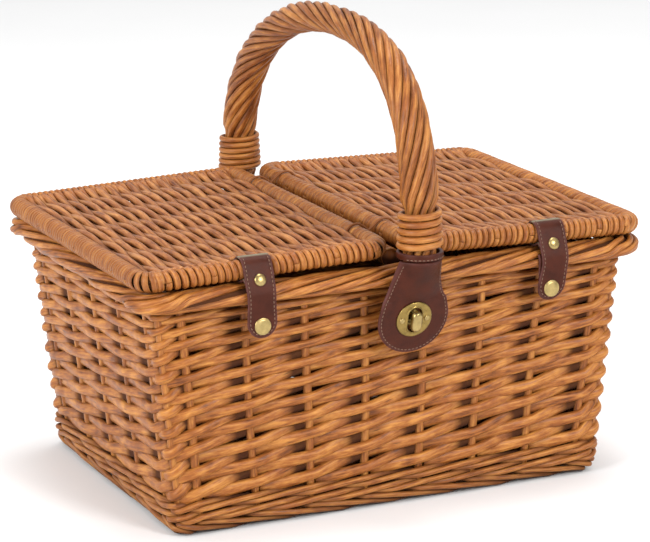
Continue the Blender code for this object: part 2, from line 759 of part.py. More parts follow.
def winding_points(leg):
    """A conical helix that hugs a leg from its foot upwards, with straight ends."""
    steps = round(leg.turns * BINDING_POINTS_PER_TURN)
    middle = leg.side * HANDLE_HALF_SPAN
    points = []
    for step in range(steps + 1):
        rise = leg.turns * leg.pitch * step / steps
        angle = BINDING_START_ANGLE + FULL_TURN * leg.turns * step / steps
        radius = leg_radius(leg, leg.foot_z + rise) + SEAT_GAP + leg.cane
        across = HANDLE_X + radius * math.sin(angle)
        points.append(Vector((across, middle - radius * math.cos(angle), leg.foot_z + leg.cane + rise)))
    run = 2.0 * leg.cane
    first = points[0] + (points[0] - points[1]).normalized() * run
    last = points[-1] + (points[-1] - points[-2]).normalized() * run
    return [first] + points + [last]


def least_gap(points, per_turn, radius):
    """The least space between one turn of a winding and another."""
    apart = per_turn * 3 // 4
    least = min(
        (points[far] - points[near]).length
        for near in range(len(points))
        for far in range(near + apart, len(points))
    )
    return least - 2.0 * radius


def bindings():
    """Cane wound round each leg of the handle, one unbroken rod a leg."""
    for label, leg in (("front", FRONT_LEG), ("rear", REAR_LEG)):
        points = winding_points(leg)
        add_tube(f"handle_{label}_binding", points, leg.cane, CANE, False, 1)
        gap = least_gap(points, BINDING_POINTS_PER_TURN, leg.cane)
        print(f"least gap in the {label} binding: {gap * 1000.0:.2f} mm")


def collar():
    """The leather collar round the front leg, just under the binding."""
    outer = COLLAR_INNER_RADIUS + COLLAR_THICKNESS
    profile = [
        (outer, COLLAR_HEIGHT),
        (outer, 0.0),
        (COLLAR_INNER_RADIUS, 0.0),
        (COLLAR_INNER_RADIUS, COLLAR_HEIGHT),
        (outer, COLLAR_HEIGHT),
    ]
    item = add_turned("handle_collar", profile, LEATHER)
    item.location = (HANDLE_X, -HANDLE_HALF_SPAN, COLLAR_Z)


def tab_ends():
    """The tab's hinge, knee and foot, as (y, z) in the plane of the handle."""
    wall_x, wall_y = wall_half(TAB_FOOT_Z)
    half = TAB_THICKNESS / 2.0
    collar_front = HANDLE_HALF_SPAN + COLLAR_INNER_RADIUS + COLLAR_THICKNESS
    hinge = Vector((-(collar_front - half), COLLAR_Z - SEAT_GAP - half))
    foot = Vector((-(wall_y + TAB_FOOT_CLEARANCE + half), TAB_FOOT_Z))
    rise = TAB_KNEE_Z - TAB_FOOT_Z
    knee = foot + Vector((-rise * math.tan(TAB_LEAN_ANGLE), rise))
    return hinge, knee, foot


def tab_place(run):
    """A point (y, z) down the middle of the tab: curved to its knee, then straight."""
    hinge, knee, foot = tab_ends()
    down = (foot - knee).normalized()
    upper = (knee - hinge).length
    if run >= upper:
        return knee + (run - upper) * down
    share = 1.0 - run / upper
    control = knee - TAB_KNEE_LENGTH * down
    return (1.0 - share) ** 2 * knee + 2.0 * share * (1.0 - share) * control + share ** 2 * hinge


def tab_frame():
    """The place and the axes of the turn lock on the tab's straight part."""
    hinge, knee, foot = tab_ends()
    down = (foot - knee).normalized()
    place = knee + (TAB_KNEE_Z - CLASP_PLATE_Z) / -down.y * down
    outward = Vector((0.0, down.y, -down.x))
    upward = Vector((0.0, -down.x, -down.y))
    across = upward.cross(outward)
    matrix = Matrix((across, upward, outward)).transposed().to_4x4()
    matrix.translation = Vector((HANDLE_X, place.x, place.y))
    return matrix


def oval(half_width, half_length, steps=8):
    """An upright slot's outline with round ends."""
    straight = half_length - half_width
    points = []
    for end in (1, -1):
        for step in range(steps + 1):
            angle = math.pi * step / steps + (0.0 if end > 0 else math.pi)
            points.append((half_width * math.cos(angle), end * straight + half_width * math.sin(angle)))
    return points


def tab_rows(length):
    """Distances down the tab with half its width at each: straight sides, then a round end."""
    round_centre = length - TAB_ROUND_RADIUS
    corner = math.hypot(TAB_NECK_HALF_WIDTH, round_centre)
    turn = math.atan2(round_centre, TAB_NECK_HALF_WIDTH) - math.acos(TAB_ROUND_RADIUS / corner)
    touch_run = round_centre - TAB_ROUND_RADIUS * math.sin(turn)
    touch_width = TAB_ROUND_RADIUS * math.cos(turn)
    steps = 8
    rows = []
    for step in range(steps):
        share = step / steps
        rows.append((touch_run * share, TAB_NECK_HALF_WIDTH + (touch_width - TAB_NECK_HALF_WIDTH) * share))
    for step in range(steps + 1):
        angle = -turn + (TAB_END_ANGLE + turn) * step / steps
        rows.append((round_centre + TAB_ROUND_RADIUS * math.sin(angle), TAB_ROUND_RADIUS * math.cos(angle)))
    return rows


def clasp_tab(pivot):
    """The pear-shaped leather tab, wrapped round the leg at its neck and flat at the lock."""
    hinge, knee, foot = tab_ends()
    upper = (knee - hinge).length
    columns = 8
    mesh = bpy.data.meshes.new("clasp_tab")
    work = bmesh.new()
    grid = []
    for run, half_width in tab_rows(upper + (foot - knee).length):
        place = tab_place(run)
        wrap = TAB_NECK_WRAP * max(0.0, 1.0 - run / upper)
        row = []
        for column in range(columns + 1):
            across = 2.0 * column / columns - 1.0
            along = place.x - hinge.x + wrap * across ** 2
            row.append(work.verts.new((half_width * across, along, place.y - hinge.y)))
        grid.append(row)
    for near, far in zip(grid, grid[1:]):
        for column in range(columns):
            work.faces.new((near[column], far[column], far[column + 1], near[column + 1]))
    work.to_mesh(mesh)
    work.free()
    item = add_object("clasp_tab", mesh, LEATHER, parent=pivot)
    thick = item.modifiers.new("thickness", "SOLIDIFY")
    thick.thickness = TAB_THICKNESS
    thick.offset = 0.0
    slot = prism_mesh(oval(SLOT_HALF_WIDTH, SLOT_HALF_LENGTH), -CUT_OVERRUN, CUT_OVERRUN)
    cut(item, add_cutter("tab_slot", slot, matrix=tab_frame()))


def turn_lock(pivot):
    """The slotted plate on the tab, and the base and button that it closes over."""
    frame = tab_frame()
    plate_foot = TAB_THICKNESS / 2.0 + SEAT_GAP
    plate_top = plate_foot + CLASP_PLATE_THICKNESS
    plate = add_object("clasp_plate", cylinder_mesh(CLASP_PLATE_RADIUS, CLASP_PLATE_THICKNESS, 32), BRASS)
    plate.parent = pivot
    place = frame @ Matrix.Translation((0.0, 0.0, (plate_foot + plate_top) / 2.0))
    bpy.context.view_layer.update()
    plate.matrix_world = place
    rim = prism_mesh(
        oval(SLOT_HALF_WIDTH + SLOT_RIM, SLOT_HALF_LENGTH + SLOT_RIM),
        plate_foot + CLASP_PLATE_THICKNESS / 2.0,
        plate_top + SLOT_RIM_HEIGHT,
    )
    cut(plate, add_cutter("slot_rim", rim, matrix=frame), "UNION")
    slot = prism_mesh(oval(SLOT_HALF_WIDTH, SLOT_HALF_LENGTH), -CUT_OVERRUN, plate_top + CUT_OVERRUN)
    cut(plate, add_cutter("plate_slot", slot, matrix=frame))

    base_top = -TAB_THICKNESS / 2.0 - SEAT_GAP
    base_foot = base_top - CLASP_BASE_THICKNESS
    base_middle = (base_top + base_foot) / 2.0
    base = add_object("clasp_base", cylinder_mesh(CLASP_BASE_RADIUS, CLASP_BASE_THICKNESS), BRASS)
    base.matrix_world = frame @ Matrix.Translation((0.0, 0.0, base_middle))
    socket_floor = base_top - CLASP_SOCKET_DEPTH
    socket_height = CLASP_SOCKET_DEPTH + CUT_OVERRUN
    socket = cylinder_mesh(BUTTON_STEM_RADIUS + SEAT_GAP, socket_height)
    place = frame @ Matrix.Translation((0.0, 0.0, socket_floor + socket_height / 2.0))
    cut(base, add_cutter("button_socket", socket, matrix=place))

    head_foot = plate_top + SLOT_RIM_HEIGHT + BUTTON_LIFT
    head_outline = oval(BUTTON_HALF_WIDTH, BUTTON_HALF_LENGTH, 6)
    head_mesh = prism_mesh(head_outline, head_foot, head_foot + BUTTON_HEIGHT)
    button = add_object("clasp_button", head_mesh, BRASS)
    button.matrix_world = frame
    stem_foot = socket_floor + SEAT_GAP
    stem_height = head_foot + BUTTON_HEIGHT / 2.0 - stem_foot
    stem = cylinder_mesh(BUTTON_STEM_RADIUS, stem_height, 12)
    place = frame @ Matrix.Translation((0.0, 0.0, stem_foot + stem_height / 2.0))
    cut(button, add_cutter("button_stem", stem, matrix=place), "UNION")


def crossing(near, near_way, far, far_way):
    """Where two lines in a plane cross."""
    gap = far - near
    reach = (gap.x * far_way.y - gap.y * far_way.x) / (near_way.x * far_way.y - near_way.y * far_way.x)
    return near + reach * near_way


def slant_at(hanger, height):
    """How far a strap's tail has slanted towards the handle at a height."""
    share = max(0.0, (STRAP_BEND_Z - height) / (STRAP_BEND_Z - STRAP_FOOT_Z))
    return -hanger.side * hanger.slant * share


def strap_front(hanger):
    """Where the strap's front face leaves its loop, and its knee, as (y, z) from its pivot."""
    knee = Vector((-STRAP_HANG - STRAP_THICKNESS / 2.0, STRAP_KNEE_Z - hanger_z(hanger)))
    angle = math.atan2(knee.y, knee.x) - math.acos(STRAP_RING_RADIUS / knee.length)
    return Vector((STRAP_RING_RADIUS * math.cos(angle), STRAP_RING_RADIUS * math.sin(angle))), knee


def strap_outline(hanger):
    """The strap from its side: a loop round the bar, a doubled stretch and a tail."""
    top, knee = strap_front(hanger)
    down = (knee - top).normalized()
    out = top.normalized()
    doubled = (STRAP_RING_RADIUS - 2.0 * STRAP_THICKNESS) * out
    single = (STRAP_RING_RADIUS - STRAP_THICKNESS) * out
    join = doubled + math.sqrt(STRAP_RING_RADIUS ** 2 - doubled.length ** 2) * down
    thickness = Vector((STRAP_THICKNESS, 0.0))
    bend = Vector((knee.x, STRAP_BEND_Z - hanger_z(hanger)))
    foot = Vector((knee.x, STRAP_FOOT_Z - hanger_z(hanger)))
    arrive = math.atan2(join.y, join.x)
    sweep = (math.atan2(top.y, top.x) - arrive) % FULL_TURN
    outline = []
    for step in range(LOOP_STEPS + 1):
        angle = arrive + sweep * step / LOOP_STEPS
        outline.append((STRAP_RING_RADIUS * math.cos(angle), STRAP_RING_RADIUS * math.sin(angle)))
    outline.append(tuple(knee))
    outline.append(tuple(bend))
    outline.append(tuple(foot))
    outline.append(tuple(foot + thickness))
    outline.append(tuple(bend + thickness))
    outline.append(tuple(crossing(single, down, bend + thickness, Vector((0.0, 1.0)))))
    outline.append(tuple(single + STRAP_DOUBLED_LENGTH * down))
    outline.append(tuple(doubled + STRAP_DOUBLED_LENGTH * down))
    return outline


def strap(hanger, lid_pivot):
    """A leather strap that loops round the lid's front bar and hangs over the rim."""
    label = hanger.label
    pivot = add_pivot(f"{label}_strap_pivot", hanger_place(hanger), parent=lid_pivot)
    bpy.context.view_layer.update()

    outline = strap_outline(hanger)
    rings = []
    for edge in (-STRAP_HALF_WIDTH, STRAP_HALF_WIDTH):
        ring = []
        for along, height in outline:
            ring.append((edge + slant_at(hanger, height + hanger_z(hanger)), along, height))
        rings.append(ring)
    item = add_object(f"{label}_strap", skin(rings, closed=False), LEATHER, parent=pivot)
    bore = cylinder_mesh(LID_BAR_RADIUS + TIE_CLEARANCE, 2.0 * (STRAP_HALF_WIDTH + CUT_OVERRUN), 24)
    place = pivot.matrix_world @ Matrix.Rotation(QUARTER_TURN, 4, "Y")
    cut(item, add_cutter(f"{label}_strap_bore", bore, matrix=place))

    bend = STRAP_BEND_Z - hanger_z(hanger)
    steps = 10
    crown = STRAP_RING_RADIUS + CUT_OVERRUN
    shape = [(STRAP_HALF_WIDTH, crown), (-STRAP_HALF_WIDTH, crown), (-STRAP_HALF_WIDTH, bend)]
    for step in range(steps + 1):
        angle = math.pi + math.pi * step / steps
        height = STRAP_FOOT_Z + STRAP_HALF_WIDTH * (1.0 + math.sin(angle))
        across = STRAP_HALF_WIDTH * math.cos(angle) + slant_at(hanger, height)
        shape.append((across, height - hanger_z(hanger)))
    shape.append((STRAP_HALF_WIDTH, bend))
    depth = STRAP_HANG + STRAP_RING_RADIUS
    rings = [[(across, along, height) for across, height in shape] for along in (-depth, depth)]
    end = add_cutter(f"{label}_strap_end", skin(rings, closed=False), matrix=pivot.matrix_world)
    cut(item, end, "INTERSECT")
    strap_rivet(hanger, pivot, item)
    snap_cap(hanger, pivot, item)


def strap_rivet(hanger, pivot, item):
    """The rivet that closes a strap's loop, and its hole."""
    label = hanger.label
    top, knee = strap_front(hanger)
    face = top.lerp(knee, (top.y - RIVET_Z + hanger_z(hanger)) / (top.y - knee.y))
    lean = math.atan2(top.x - knee.x, top.y - knee.y)
    place = pivot.matrix_world @ Matrix.Translation((0.0, face.x, face.y))
    place = place @ Matrix.Rotation(QUARTER_TURN - lean, 4, "X")
    shank_depth = 2.0 * STRAP_THICKNESS + SEAT_GAP
    hole = cylinder_mesh(RIVET_SHANK_RADIUS + SEAT_GAP, 2.0 * shank_depth, ROD_SIDES)
    cut(item, add_cutter(f"{label}_rivet_hole", hole, matrix=place))
    dome = [(0.0, SEAT_GAP + RIVET_HEAD_HEIGHT)]
    steps = 4
    for step in range(1, steps + 1):
        angle = QUARTER_TURN * step / steps
        dome.append((RIVET_HEAD_RADIUS * math.sin(angle), SEAT_GAP + RIVET_HEAD_HEIGHT * math.cos(angle)))
    dome.append((RIVET_SHANK_RADIUS, SEAT_GAP))
    dome.append((RIVET_SHANK_RADIUS, -2.0 * STRAP_THICKNESS + SEAT_GAP))
    dome.append((0.0, -2.0 * STRAP_THICKNESS + SEAT_GAP))
    rivet = add_turned(f"{label}_strap_rivet", dome, BRASS, parent=pivot)
    rivet.matrix_world = place


def snap_cap(hanger, pivot, item):
    """The cap of a strap's snap, and its hole."""
    label = hanger.label
    spot = (slant_at(hanger, SNAP_Z), -STRAP_HANG - STRAP_THICKNESS / 2.0, SNAP_Z - hanger_z(hanger))
    place = pivot.matrix_world @ Matrix.Translation(spot) @ Matrix.Rotation(QUARTER_TURN, 4, "X")
    hole = cylinder_mesh(SNAP_POST_RADIUS + SEAT_GAP, 2.0 * (STRAP_THICKNESS + SEAT_GAP), ROD_SIDES)
    cut(item, add_cutter(f"{label}_snap_hole", hole, matrix=place))
    edge = SNAP_CAP_HEIGHT / 2.0
    cap_profile = [
        (0.0, SEAT_GAP + SNAP_CAP_HEIGHT),
        (SNAP_CAP_RADIUS - edge, SEAT_GAP + SNAP_CAP_HEIGHT),
        (SNAP_CAP_RADIUS, SEAT_GAP + edge),
        (SNAP_CAP_RADIUS, SEAT_GAP),
        (SNAP_POST_RADIUS, SEAT_GAP),
        (SNAP_POST_RADIUS, -STRAP_THICKNESS + SEAT_GAP),
        (0.0, -STRAP_THICKNESS + SEAT_GAP),
    ]
    cap = add_turned(f"{label}_snap_cap", cap_profile, BRASS, parent=pivot)
    cap.matrix_world = place


def keeper(hanger):
    """The leather keeper on the border that the strap's snap closes on."""
    inner_width = BORDER_HALF_WIDTH + SEAT_GAP
    inner_height = BORDER_HALF_HEIGHT + SEAT_GAP
    centre_y = TOP_HALF_Y + BORDER_INSET
    steps = 7
    inner = []
    outer = []
    for step in range(steps + 1):
        angle = KEEPER_WRAP_ANGLE * (1.0 - step / steps)
        across = math.cos(angle)
        rise = math.sin(angle)
        inner.append((-(centre_y + inner_width * across), BORDER_Z + inner_height * rise))
        outer_width = inner_width + KEEPER_THICKNESS
        outer_height = inner_height + KEEPER_THICKNESS
        outer.append((-(centre_y + outer_width * across), BORDER_Z + outer_height * rise))
    foot = STRAP_FOOT_Z + KEEPER_FOOT_RISE
    for height in (STRAP_BEND_Z, foot):
        inner.append((-centre_y - inner_width, height))
        outer.append((-centre_y - inner_width - KEEPER_THICKNESS, height))
    profile = inner + outer[::-1]
    middle = hanger.side * hanger.x + slant_at(hanger, SNAP_Z)
    rings = [[(middle + edge, along, height) for along, height in profile]
             for edge in (-KEEPER_HALF_WIDTH, KEEPER_HALF_WIDTH)]
    add_object(f"{hanger.label}_keeper", skin(rings, closed=False), LEATHER)


def build():
    """Make every piece."""
    side_weave()
    foot_border()
    base_panel()
    stakes()
    item = twisted_ring("top_border", *top_border(), WILLOW)
    shade_round(item, math.radians(60.0))
    cross_bar()
    handle()
    bindings()
    collar()
    hinge, knee, foot = tab_ends()
    tab_pivot = add_pivot("clasp_tab_pivot", (HANDLE_X, hinge.x, hinge.y))
    bpy.context.view_layer.update()
    clasp_tab(tab_pivot)
    turn_lock(tab_pivot)
    for hanger in (LEFT_HANGER, RIGHT_HANGER):
        pivot = lid(hanger)
        hinge_ties(hanger.side, hanger.label)
        strap(hanger, pivot)
        keeper(hanger)


build()
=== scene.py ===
"""A willow picnic basket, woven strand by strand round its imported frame."""
import math

import bmesh
import bpy
import numpy as np
from mathutils import Matrix, Vector


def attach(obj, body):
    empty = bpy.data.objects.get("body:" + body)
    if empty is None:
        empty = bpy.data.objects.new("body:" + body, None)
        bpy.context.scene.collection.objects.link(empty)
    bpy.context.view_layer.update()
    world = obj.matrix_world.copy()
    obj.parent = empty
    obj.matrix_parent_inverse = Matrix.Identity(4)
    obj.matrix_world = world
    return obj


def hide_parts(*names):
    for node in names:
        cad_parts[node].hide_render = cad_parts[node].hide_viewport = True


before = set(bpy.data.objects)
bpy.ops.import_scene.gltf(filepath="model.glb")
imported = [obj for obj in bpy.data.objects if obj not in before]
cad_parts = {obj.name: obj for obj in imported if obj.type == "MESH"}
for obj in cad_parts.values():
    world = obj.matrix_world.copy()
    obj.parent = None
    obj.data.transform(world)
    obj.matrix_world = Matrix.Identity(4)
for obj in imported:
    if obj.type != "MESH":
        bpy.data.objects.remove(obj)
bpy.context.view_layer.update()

RANDOM = np.random.default_rng(7)
FULL = 2.0 * math.pi

# Sizes of the frame, in metres
BASE_X = 0.1858
BASE_Y = 0.1370
TOP_X = 0.2043
TOP_Y = 0.1435
WALL_TOP = 0.1810
CORNER = 0.0130
FRONT_SHARES = [-7 / 8, -5 / 8, -3 / 8, -1 / 8, 1 / 8, 3 / 8, 5 / 8, 7 / 8]
END_SHARES = [-0.8, -0.4, 0.0, 0.4, 0.8]
BORDER_Z = 0.189919
BORDER_INSET = 0.0018
BORDER_WIDE = 0.0132
BORDER_HIGH = 0.0087
LID_BAR = 0.0080
LID_DEPTH = 0.1450
LID_OUTER = 0.2100
LID_CORNER = 0.0130
HINGE_X = 0.0142
HINGE_Z = 0.212019
LID_RISE = 0.0051
LID_TILT = math.atan2(LID_RISE, LID_OUTER - HINGE_X)
LID_SPAN = math.hypot(LID_RISE, LID_OUTER - HINGE_X)
CROSS_Z = 0.200019

# Rows of the wall, by the heights at which the strands cross in front of a stake
ROW_HEIGHTS = [0.036, 0.053, 0.070, 0.085, 0.101, 0.115, 0.129, 0.1425, 0.156, 0.1675, 0.177]


class Bundle:
    """Gathers tubes and sheets into one mesh, with a map along them, a shade for each and how proud each point is."""

    def __init__(self):
        self.points = []
        self.quads = []
        self.maps = []
        self.corners = []
        self.corner_maps = []
        self.shades = []
        self.prouds = []
        self.count = 0

    def grid(self, rings, u, v, shade, proud, loop=False, flat=False):
        """Adds rows of points, each joined round into a ring; the last row meets the first, or both ends are capped."""
        rows, columns = rings.shape[:2]
        ids = self.count + np.arange(rows * columns).reshape(rows, columns)
        here = np.arange(columns)
        there = (here + 1) % columns
        near = ids if loop else ids[:-1]
        far = np.roll(ids, -1, 0) if loop else ids[1:]
        a, b, c, d = near, near[:, there], far[:, there], far
        self.quads.append(np.stack([a, b, c, d], -1).reshape(-1, 4))
        low = np.broadcast_to(u[:-1, None], a.shape)
        high = np.broadcast_to(u[1:, None], a.shape)
        left = np.broadcast_to(v[here], a.shape)
        right = np.broadcast_to(v[here + 1], a.shape)
        corners = [np.stack([low, left], -1), np.stack([low, right], -1),
                   np.stack([high, right], -1), np.stack([high, left], -1)]
        self.maps.append(np.stack(corners, 2).reshape(-1, 2))
        self.points.append(rings.reshape(-1, 3))
        self.shades.append(np.broadcast_to(shade, (rows, columns)).reshape(-1))
        self.prouds.append(np.broadcast_to(proud, (rows, columns)).reshape(-1))
        self.count += rows * columns
        if not loop:
            for row, flip in ((0, False), (rows - 1, True)):
                if flat:
                    self.strip(ids[row], u[row], flip)
                else:
                    self.cap(ids[row], rings[row], u[row], np.mean(np.broadcast_to(shade, (rows, columns))[row]), flip)

    def strip(self, ring_ids, u, flip):
        """Closes an end of a band with a strip from its face to its back."""
        last = len(ring_ids) // 2
        face = ring_ids[:last + 1]
        back = np.concatenate([ring_ids[:1], ring_ids[:last - 1:-1]])
        quads = np.stack([back[1:-2], back[2:-1], face[2:-1], face[1:-2]], -1)
        ends = np.array([[face[0], back[1], face[1]], [back[-2], face[-1], face[-2]]])
        self.quads.append(quads[:, ::-1] if flip else quads)
        self.maps.append(np.tile([u, 0.5], (4 * len(quads), 1)))
        self.corners.append(ends[:, ::-1] if flip else ends)
        self.corner_maps.append(np.tile([u, 0.5], (6, 1)))

    def cap(self, ring_ids, ring, u, shade, flip):
        """Closes an end of a tube with a fan of flat quads that meet at its middle."""
        sides = len(ring_ids)
        self.points.append(ring.mean(0)[None])
        self.shades.append(np.array([shade]))
        self.prouds.append(np.array([0.0]))
        middle = self.count
        self.count += 1
        steps = range(0, sides, 2)
        quads = [[middle, ring_ids[(i + 2) % sides], ring_ids[i + 1], ring_ids[i]] for i in steps]
        if flip:
            quads = [q[::-1] for q in quads]
        self.quads.append(np.array(quads))
        self.maps.append(np.tile([u, 0.5], (4 * len(quads), 1)))

    def tube(self, path, wide, deep=None, face=None, sides=8, off=None, shade=None, closed=False, inner=None):
        """Adds a tube along a path; face is the way that its flatter side looks, off how proud it is and inner its back."""
        path = np.asarray(path, float)
        rows = len(path)
        wide = np.broadcast_to(wide, rows)
        deep = wide if deep is None else np.broadcast_to(deep, rows)
        if closed:
            ahead = np.roll(path, -1, 0) - np.roll(path, 1, 0)
        else:
            ahead = np.gradient(path, axis=0)
        ahead = ahead / np.linalg.norm(ahead, axis=1)[:, None]
        if face is None:
            face = np.array([0.0, 0.0, 1.0]) if abs(ahead[:, 2]).mean() < 0.8 else np.array([0.0, 1.0, 0.0])
        face = np.broadcast_to(np.asarray(face, float), path.shape)
        side = np.cross(ahead, face)
        side /= np.linalg.norm(side, axis=1)[:, None]
        up = np.cross(side, ahead)
        angles = FULL * np.arange(sides) / sides
        rings = (path[:, None] + (wide[:, None] * np.cos(angles))[..., None] * side[:, None]
                 + (deep[:, None] * np.sin(angles))[..., None] * up[:, None])
        shade = RANDOM.random() if shade is None else shade
        off = np.zeros(rows) if off is None else off
        # How proud each point is; the willow paints shade where this is low.
        proud = off[:, None] + deep[:, None] * np.sin(angles)
        if inner is not None:
            proud = np.where(np.sin(angles) < -1e-6, inner[:, None] - deep[:, None] * np.sin(angles), proud)
        steps = np.linalg.norm(np.diff(path, axis=0), axis=1)
        u = np.concatenate([[0.0], np.cumsum(steps)]) * 10.0 + RANDOM.random() * 20.0
        v = np.arange(sides + 1) / sides
        if closed:
            u = np.concatenate([u, [u[-1] + 0.05]])
        self.grid(rings, u, v, shade, proud, closed)

    def build(self, name, material, body, slot, replaces=(), smooth=True):
        """Makes the object, sets it on its body and hides the nodes it stands for."""
        points = np.concatenate(self.points)
        quads = np.concatenate(self.quads)[:, ::-1]
        maps = np.concatenate(self.maps).reshape(-1, 4, 2)[:, ::-1].reshape(-1, 2)
        corners = np.concatenate([np.zeros((0, 3), int), *self.corners])[:, ::-1]
        maps = np.concatenate([maps, *self.corner_maps])
        loops = np.concatenate([quads.ravel(), corners.ravel()])
        sizes = np.repeat([4, 3], [len(quads), len(corners)])
        mesh = bpy.data.meshes.new(name)
        mesh.vertices.add(len(points))
        mesh.vertices.foreach_set("co", points.astype(np.float32).ravel())
        mesh.loops.add(len(loops))
        mesh.loops.foreach_set("vertex_index", loops.astype(np.int32))
        mesh.polygons.add(len(sizes))
        mesh.polygons.foreach_set("loop_start", (np.cumsum(sizes) - sizes).astype(np.int32))
        mesh.polygons.foreach_set("loop_total", sizes.astype(np.int32))
        mesh.update(calc_edges=True)
        mesh.polygons.foreach_set("use_smooth", np.full(len(sizes), smooth))
        layer = mesh.uv_layers.new(name="along")
        layer.data.foreach_set("uv", maps.astype(np.float32).ravel())
        for label, values in (("shade", self.shades), ("proud", self.prouds)):
            layer = mesh.attributes.new(label, "FLOAT", "POINT")
            layer.data.foreach_set("value", np.concatenate(values).astype(np.float32))
        mesh.validate()
        return place(name, mesh, material, body, slot, replaces)


def place(name, mesh, material, body, slot, replaces=()):
    """Links a mesh as a piece that rides on a body, gives it its material and hides the nodes it replaces; the slot is
    not used.
    """
    item = bpy.data.objects.new(name, mesh)
    bpy.context.scene.collection.objects.link(item)
    if material is not None:
        mesh.materials.append(material)
    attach(item, body)
    if replaces:
        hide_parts(*replaces)
    return item


# Materials

def network(name):
    """A new material with its tree, its shader and a maker of nodes."""
    material = bpy.data.materials.new(name)
    material.use_nodes = True
    tree = material.node_tree
    shader = tree.nodes["Principled BSDF"]

    def make(kind, inputs=None, **settings):
        node = tree.nodes.new(kind)
        for key, value in settings.items():
            setattr(node, key, value)
        for key, value in (inputs or {}).items():
            if isinstance(value, bpy.types.NodeSocket):
                tree.links.new(value, node.inputs[key])
            else:
                node.inputs[key].default_value = value
        return node

    return material, tree, shader, make


def ramp(make, source, stops):
    """A colour ramp over a source, from (place, colour) stops."""
    node = make("ShaderNodeValToRGB", {"Fac": source})
    points = node.color_ramp.elements
    while len(points) < len(stops):
        points.new(0.5)
    for point, (spot, colour) in zip(points, stops):
        point.position = spot
        point.color = (*colour, 1.0)
    return node.outputs["Color"]


def remap(make, source, low, high, start=0.0, stop=1.0):
    """A value mapped from one range to another, held at its ends."""
    inputs = {"Value": source, "From Min": low, "From Max": high, "To Min": start, "To Max": stop}
    return make("ShaderNodeMapRange", inputs, clamp=True).outputs["Result"]


def mix(make, share, first, second, kind="MIX"):
    """Two colours mixed by a share."""
    inputs = {0: share, 6: first, 7: second}
    return make("ShaderNodeMix", inputs, data_type="RGBA", blend_type=kind).outputs[2]


def math_node(make, kind, first, second=0.0):
    """One step of arithmetic."""
    return make("ShaderNodeMath", {0: first, 1: second}, operation=kind).outputs[0]


def willow(name, dark, middle, light, tint, deep=0.0035, roughness=(0.30, 0.50)):
    """Stained willow: streaks and blotches along each rod, a shade of its own, and painted shade where it is sunk."""
    material, tree, shader, make = network(name)
    along = make("ShaderNodeUVMap", uv_map="along").outputs["UV"]
    shade = make("ShaderNodeAttribute", attribute_name="shade").outputs["Fac"]
    proud = make("ShaderNodeAttribute", attribute_name="proud").outputs["Fac"]
    apart = make("ShaderNodeCombineXYZ", {"Z": math_node(make, "MULTIPLY", shade, 37.0)}).outputs[0]
    spot = make("ShaderNodeVectorMath", {0: along, 1: apart}, operation="ADD").outputs[0]
    fine = make("ShaderNodeMapping", {"Vector": spot, "Scale": (1.8, 4.6, 1.0)}).outputs[0]
    streaks = make("ShaderNodeTexNoise", {"Vector": fine, "Scale": 3.0, "Detail": 8.0, "Roughness": 0.66}).outputs["Fac"]
    broad = make("ShaderNodeMapping", {"Vector": spot, "Scale": (3.0, 1.5, 1.0)}).outputs[0]
    blotch = make("ShaderNodeTexNoise", {"Vector": broad, "Scale": 2.4, "Detail": 3.0, "Roughness": 0.5}).outputs["Fac"]
    tone = math_node(make, "ADD", math_node(make, "MULTIPLY", streaks, 0.95), math_node(make, "MULTIPLY", blotch, 0.55))
    tone = math_node(make, "ADD", tone, math_node(make, "MULTIPLY", shade, 0.12))
    colour = ramp(make, remap(make, tone, 0.55, 1.08), [(0.0, dark), (0.42, middle), (0.95, light), (1.0, light)])
    red = make("ShaderNodeTexNoise", {"Vector": broad, "Scale": 1.3, "Detail": 2.0}).outputs["Fac"]
    colour = mix(make, remap(make, red, 0.56, 0.72, 0.0, 0.30), colour, (*tint, 1.0))
    knots = make("ShaderNodeMapping", {"Vector": spot, "Scale": (1.1, 3.0, 1.0)}).outputs[0]
    cells = make("ShaderNodeTexVoronoi", {"Vector": knots, "Scale": 1.9, "Randomness": 1.0}).outputs["Distance"]
    colour = mix(make, remap(make, cells, 0.03, 0.11, 0.75, 0.0), colour, (*[c * 0.35 for c in dark], 1.0))
    # Painted shade: the colour darkens towards a deep brown where a rod lies sunk, in the gaps and behind crossings;
    # the same mask raises roughness.
    recess_shade = remap(make, proud, -deep, deep * 0.55, 0.92, 0.0)
    colour = mix(make, recess_shade, colour, (*[c * 0.45 for c in dark], 1.0))
    tree.links.new(colour, shader.inputs["Base Color"])
    shader.inputs["Specular IOR Level"].default_value = 0.28
    rough = remap(make, streaks, 0.3, 0.7, roughness[0], roughness[1])
    rough = math_node(make, "MAXIMUM", rough, remap(make, recess_shade, 0.15, 0.75, 0.30, 0.92))
    tree.links.new(rough, shader.inputs["Roughness"])
    height = math_node(make, "ADD", streaks, math_node(make, "MULTIPLY", blotch, 0.8))
    bump = make("ShaderNodeBump", {"Height": height, "Strength": 0.45, "Distance": 0.0008})
    tree.links.new(bump.outputs[0], shader.inputs["Normal"])
    return material


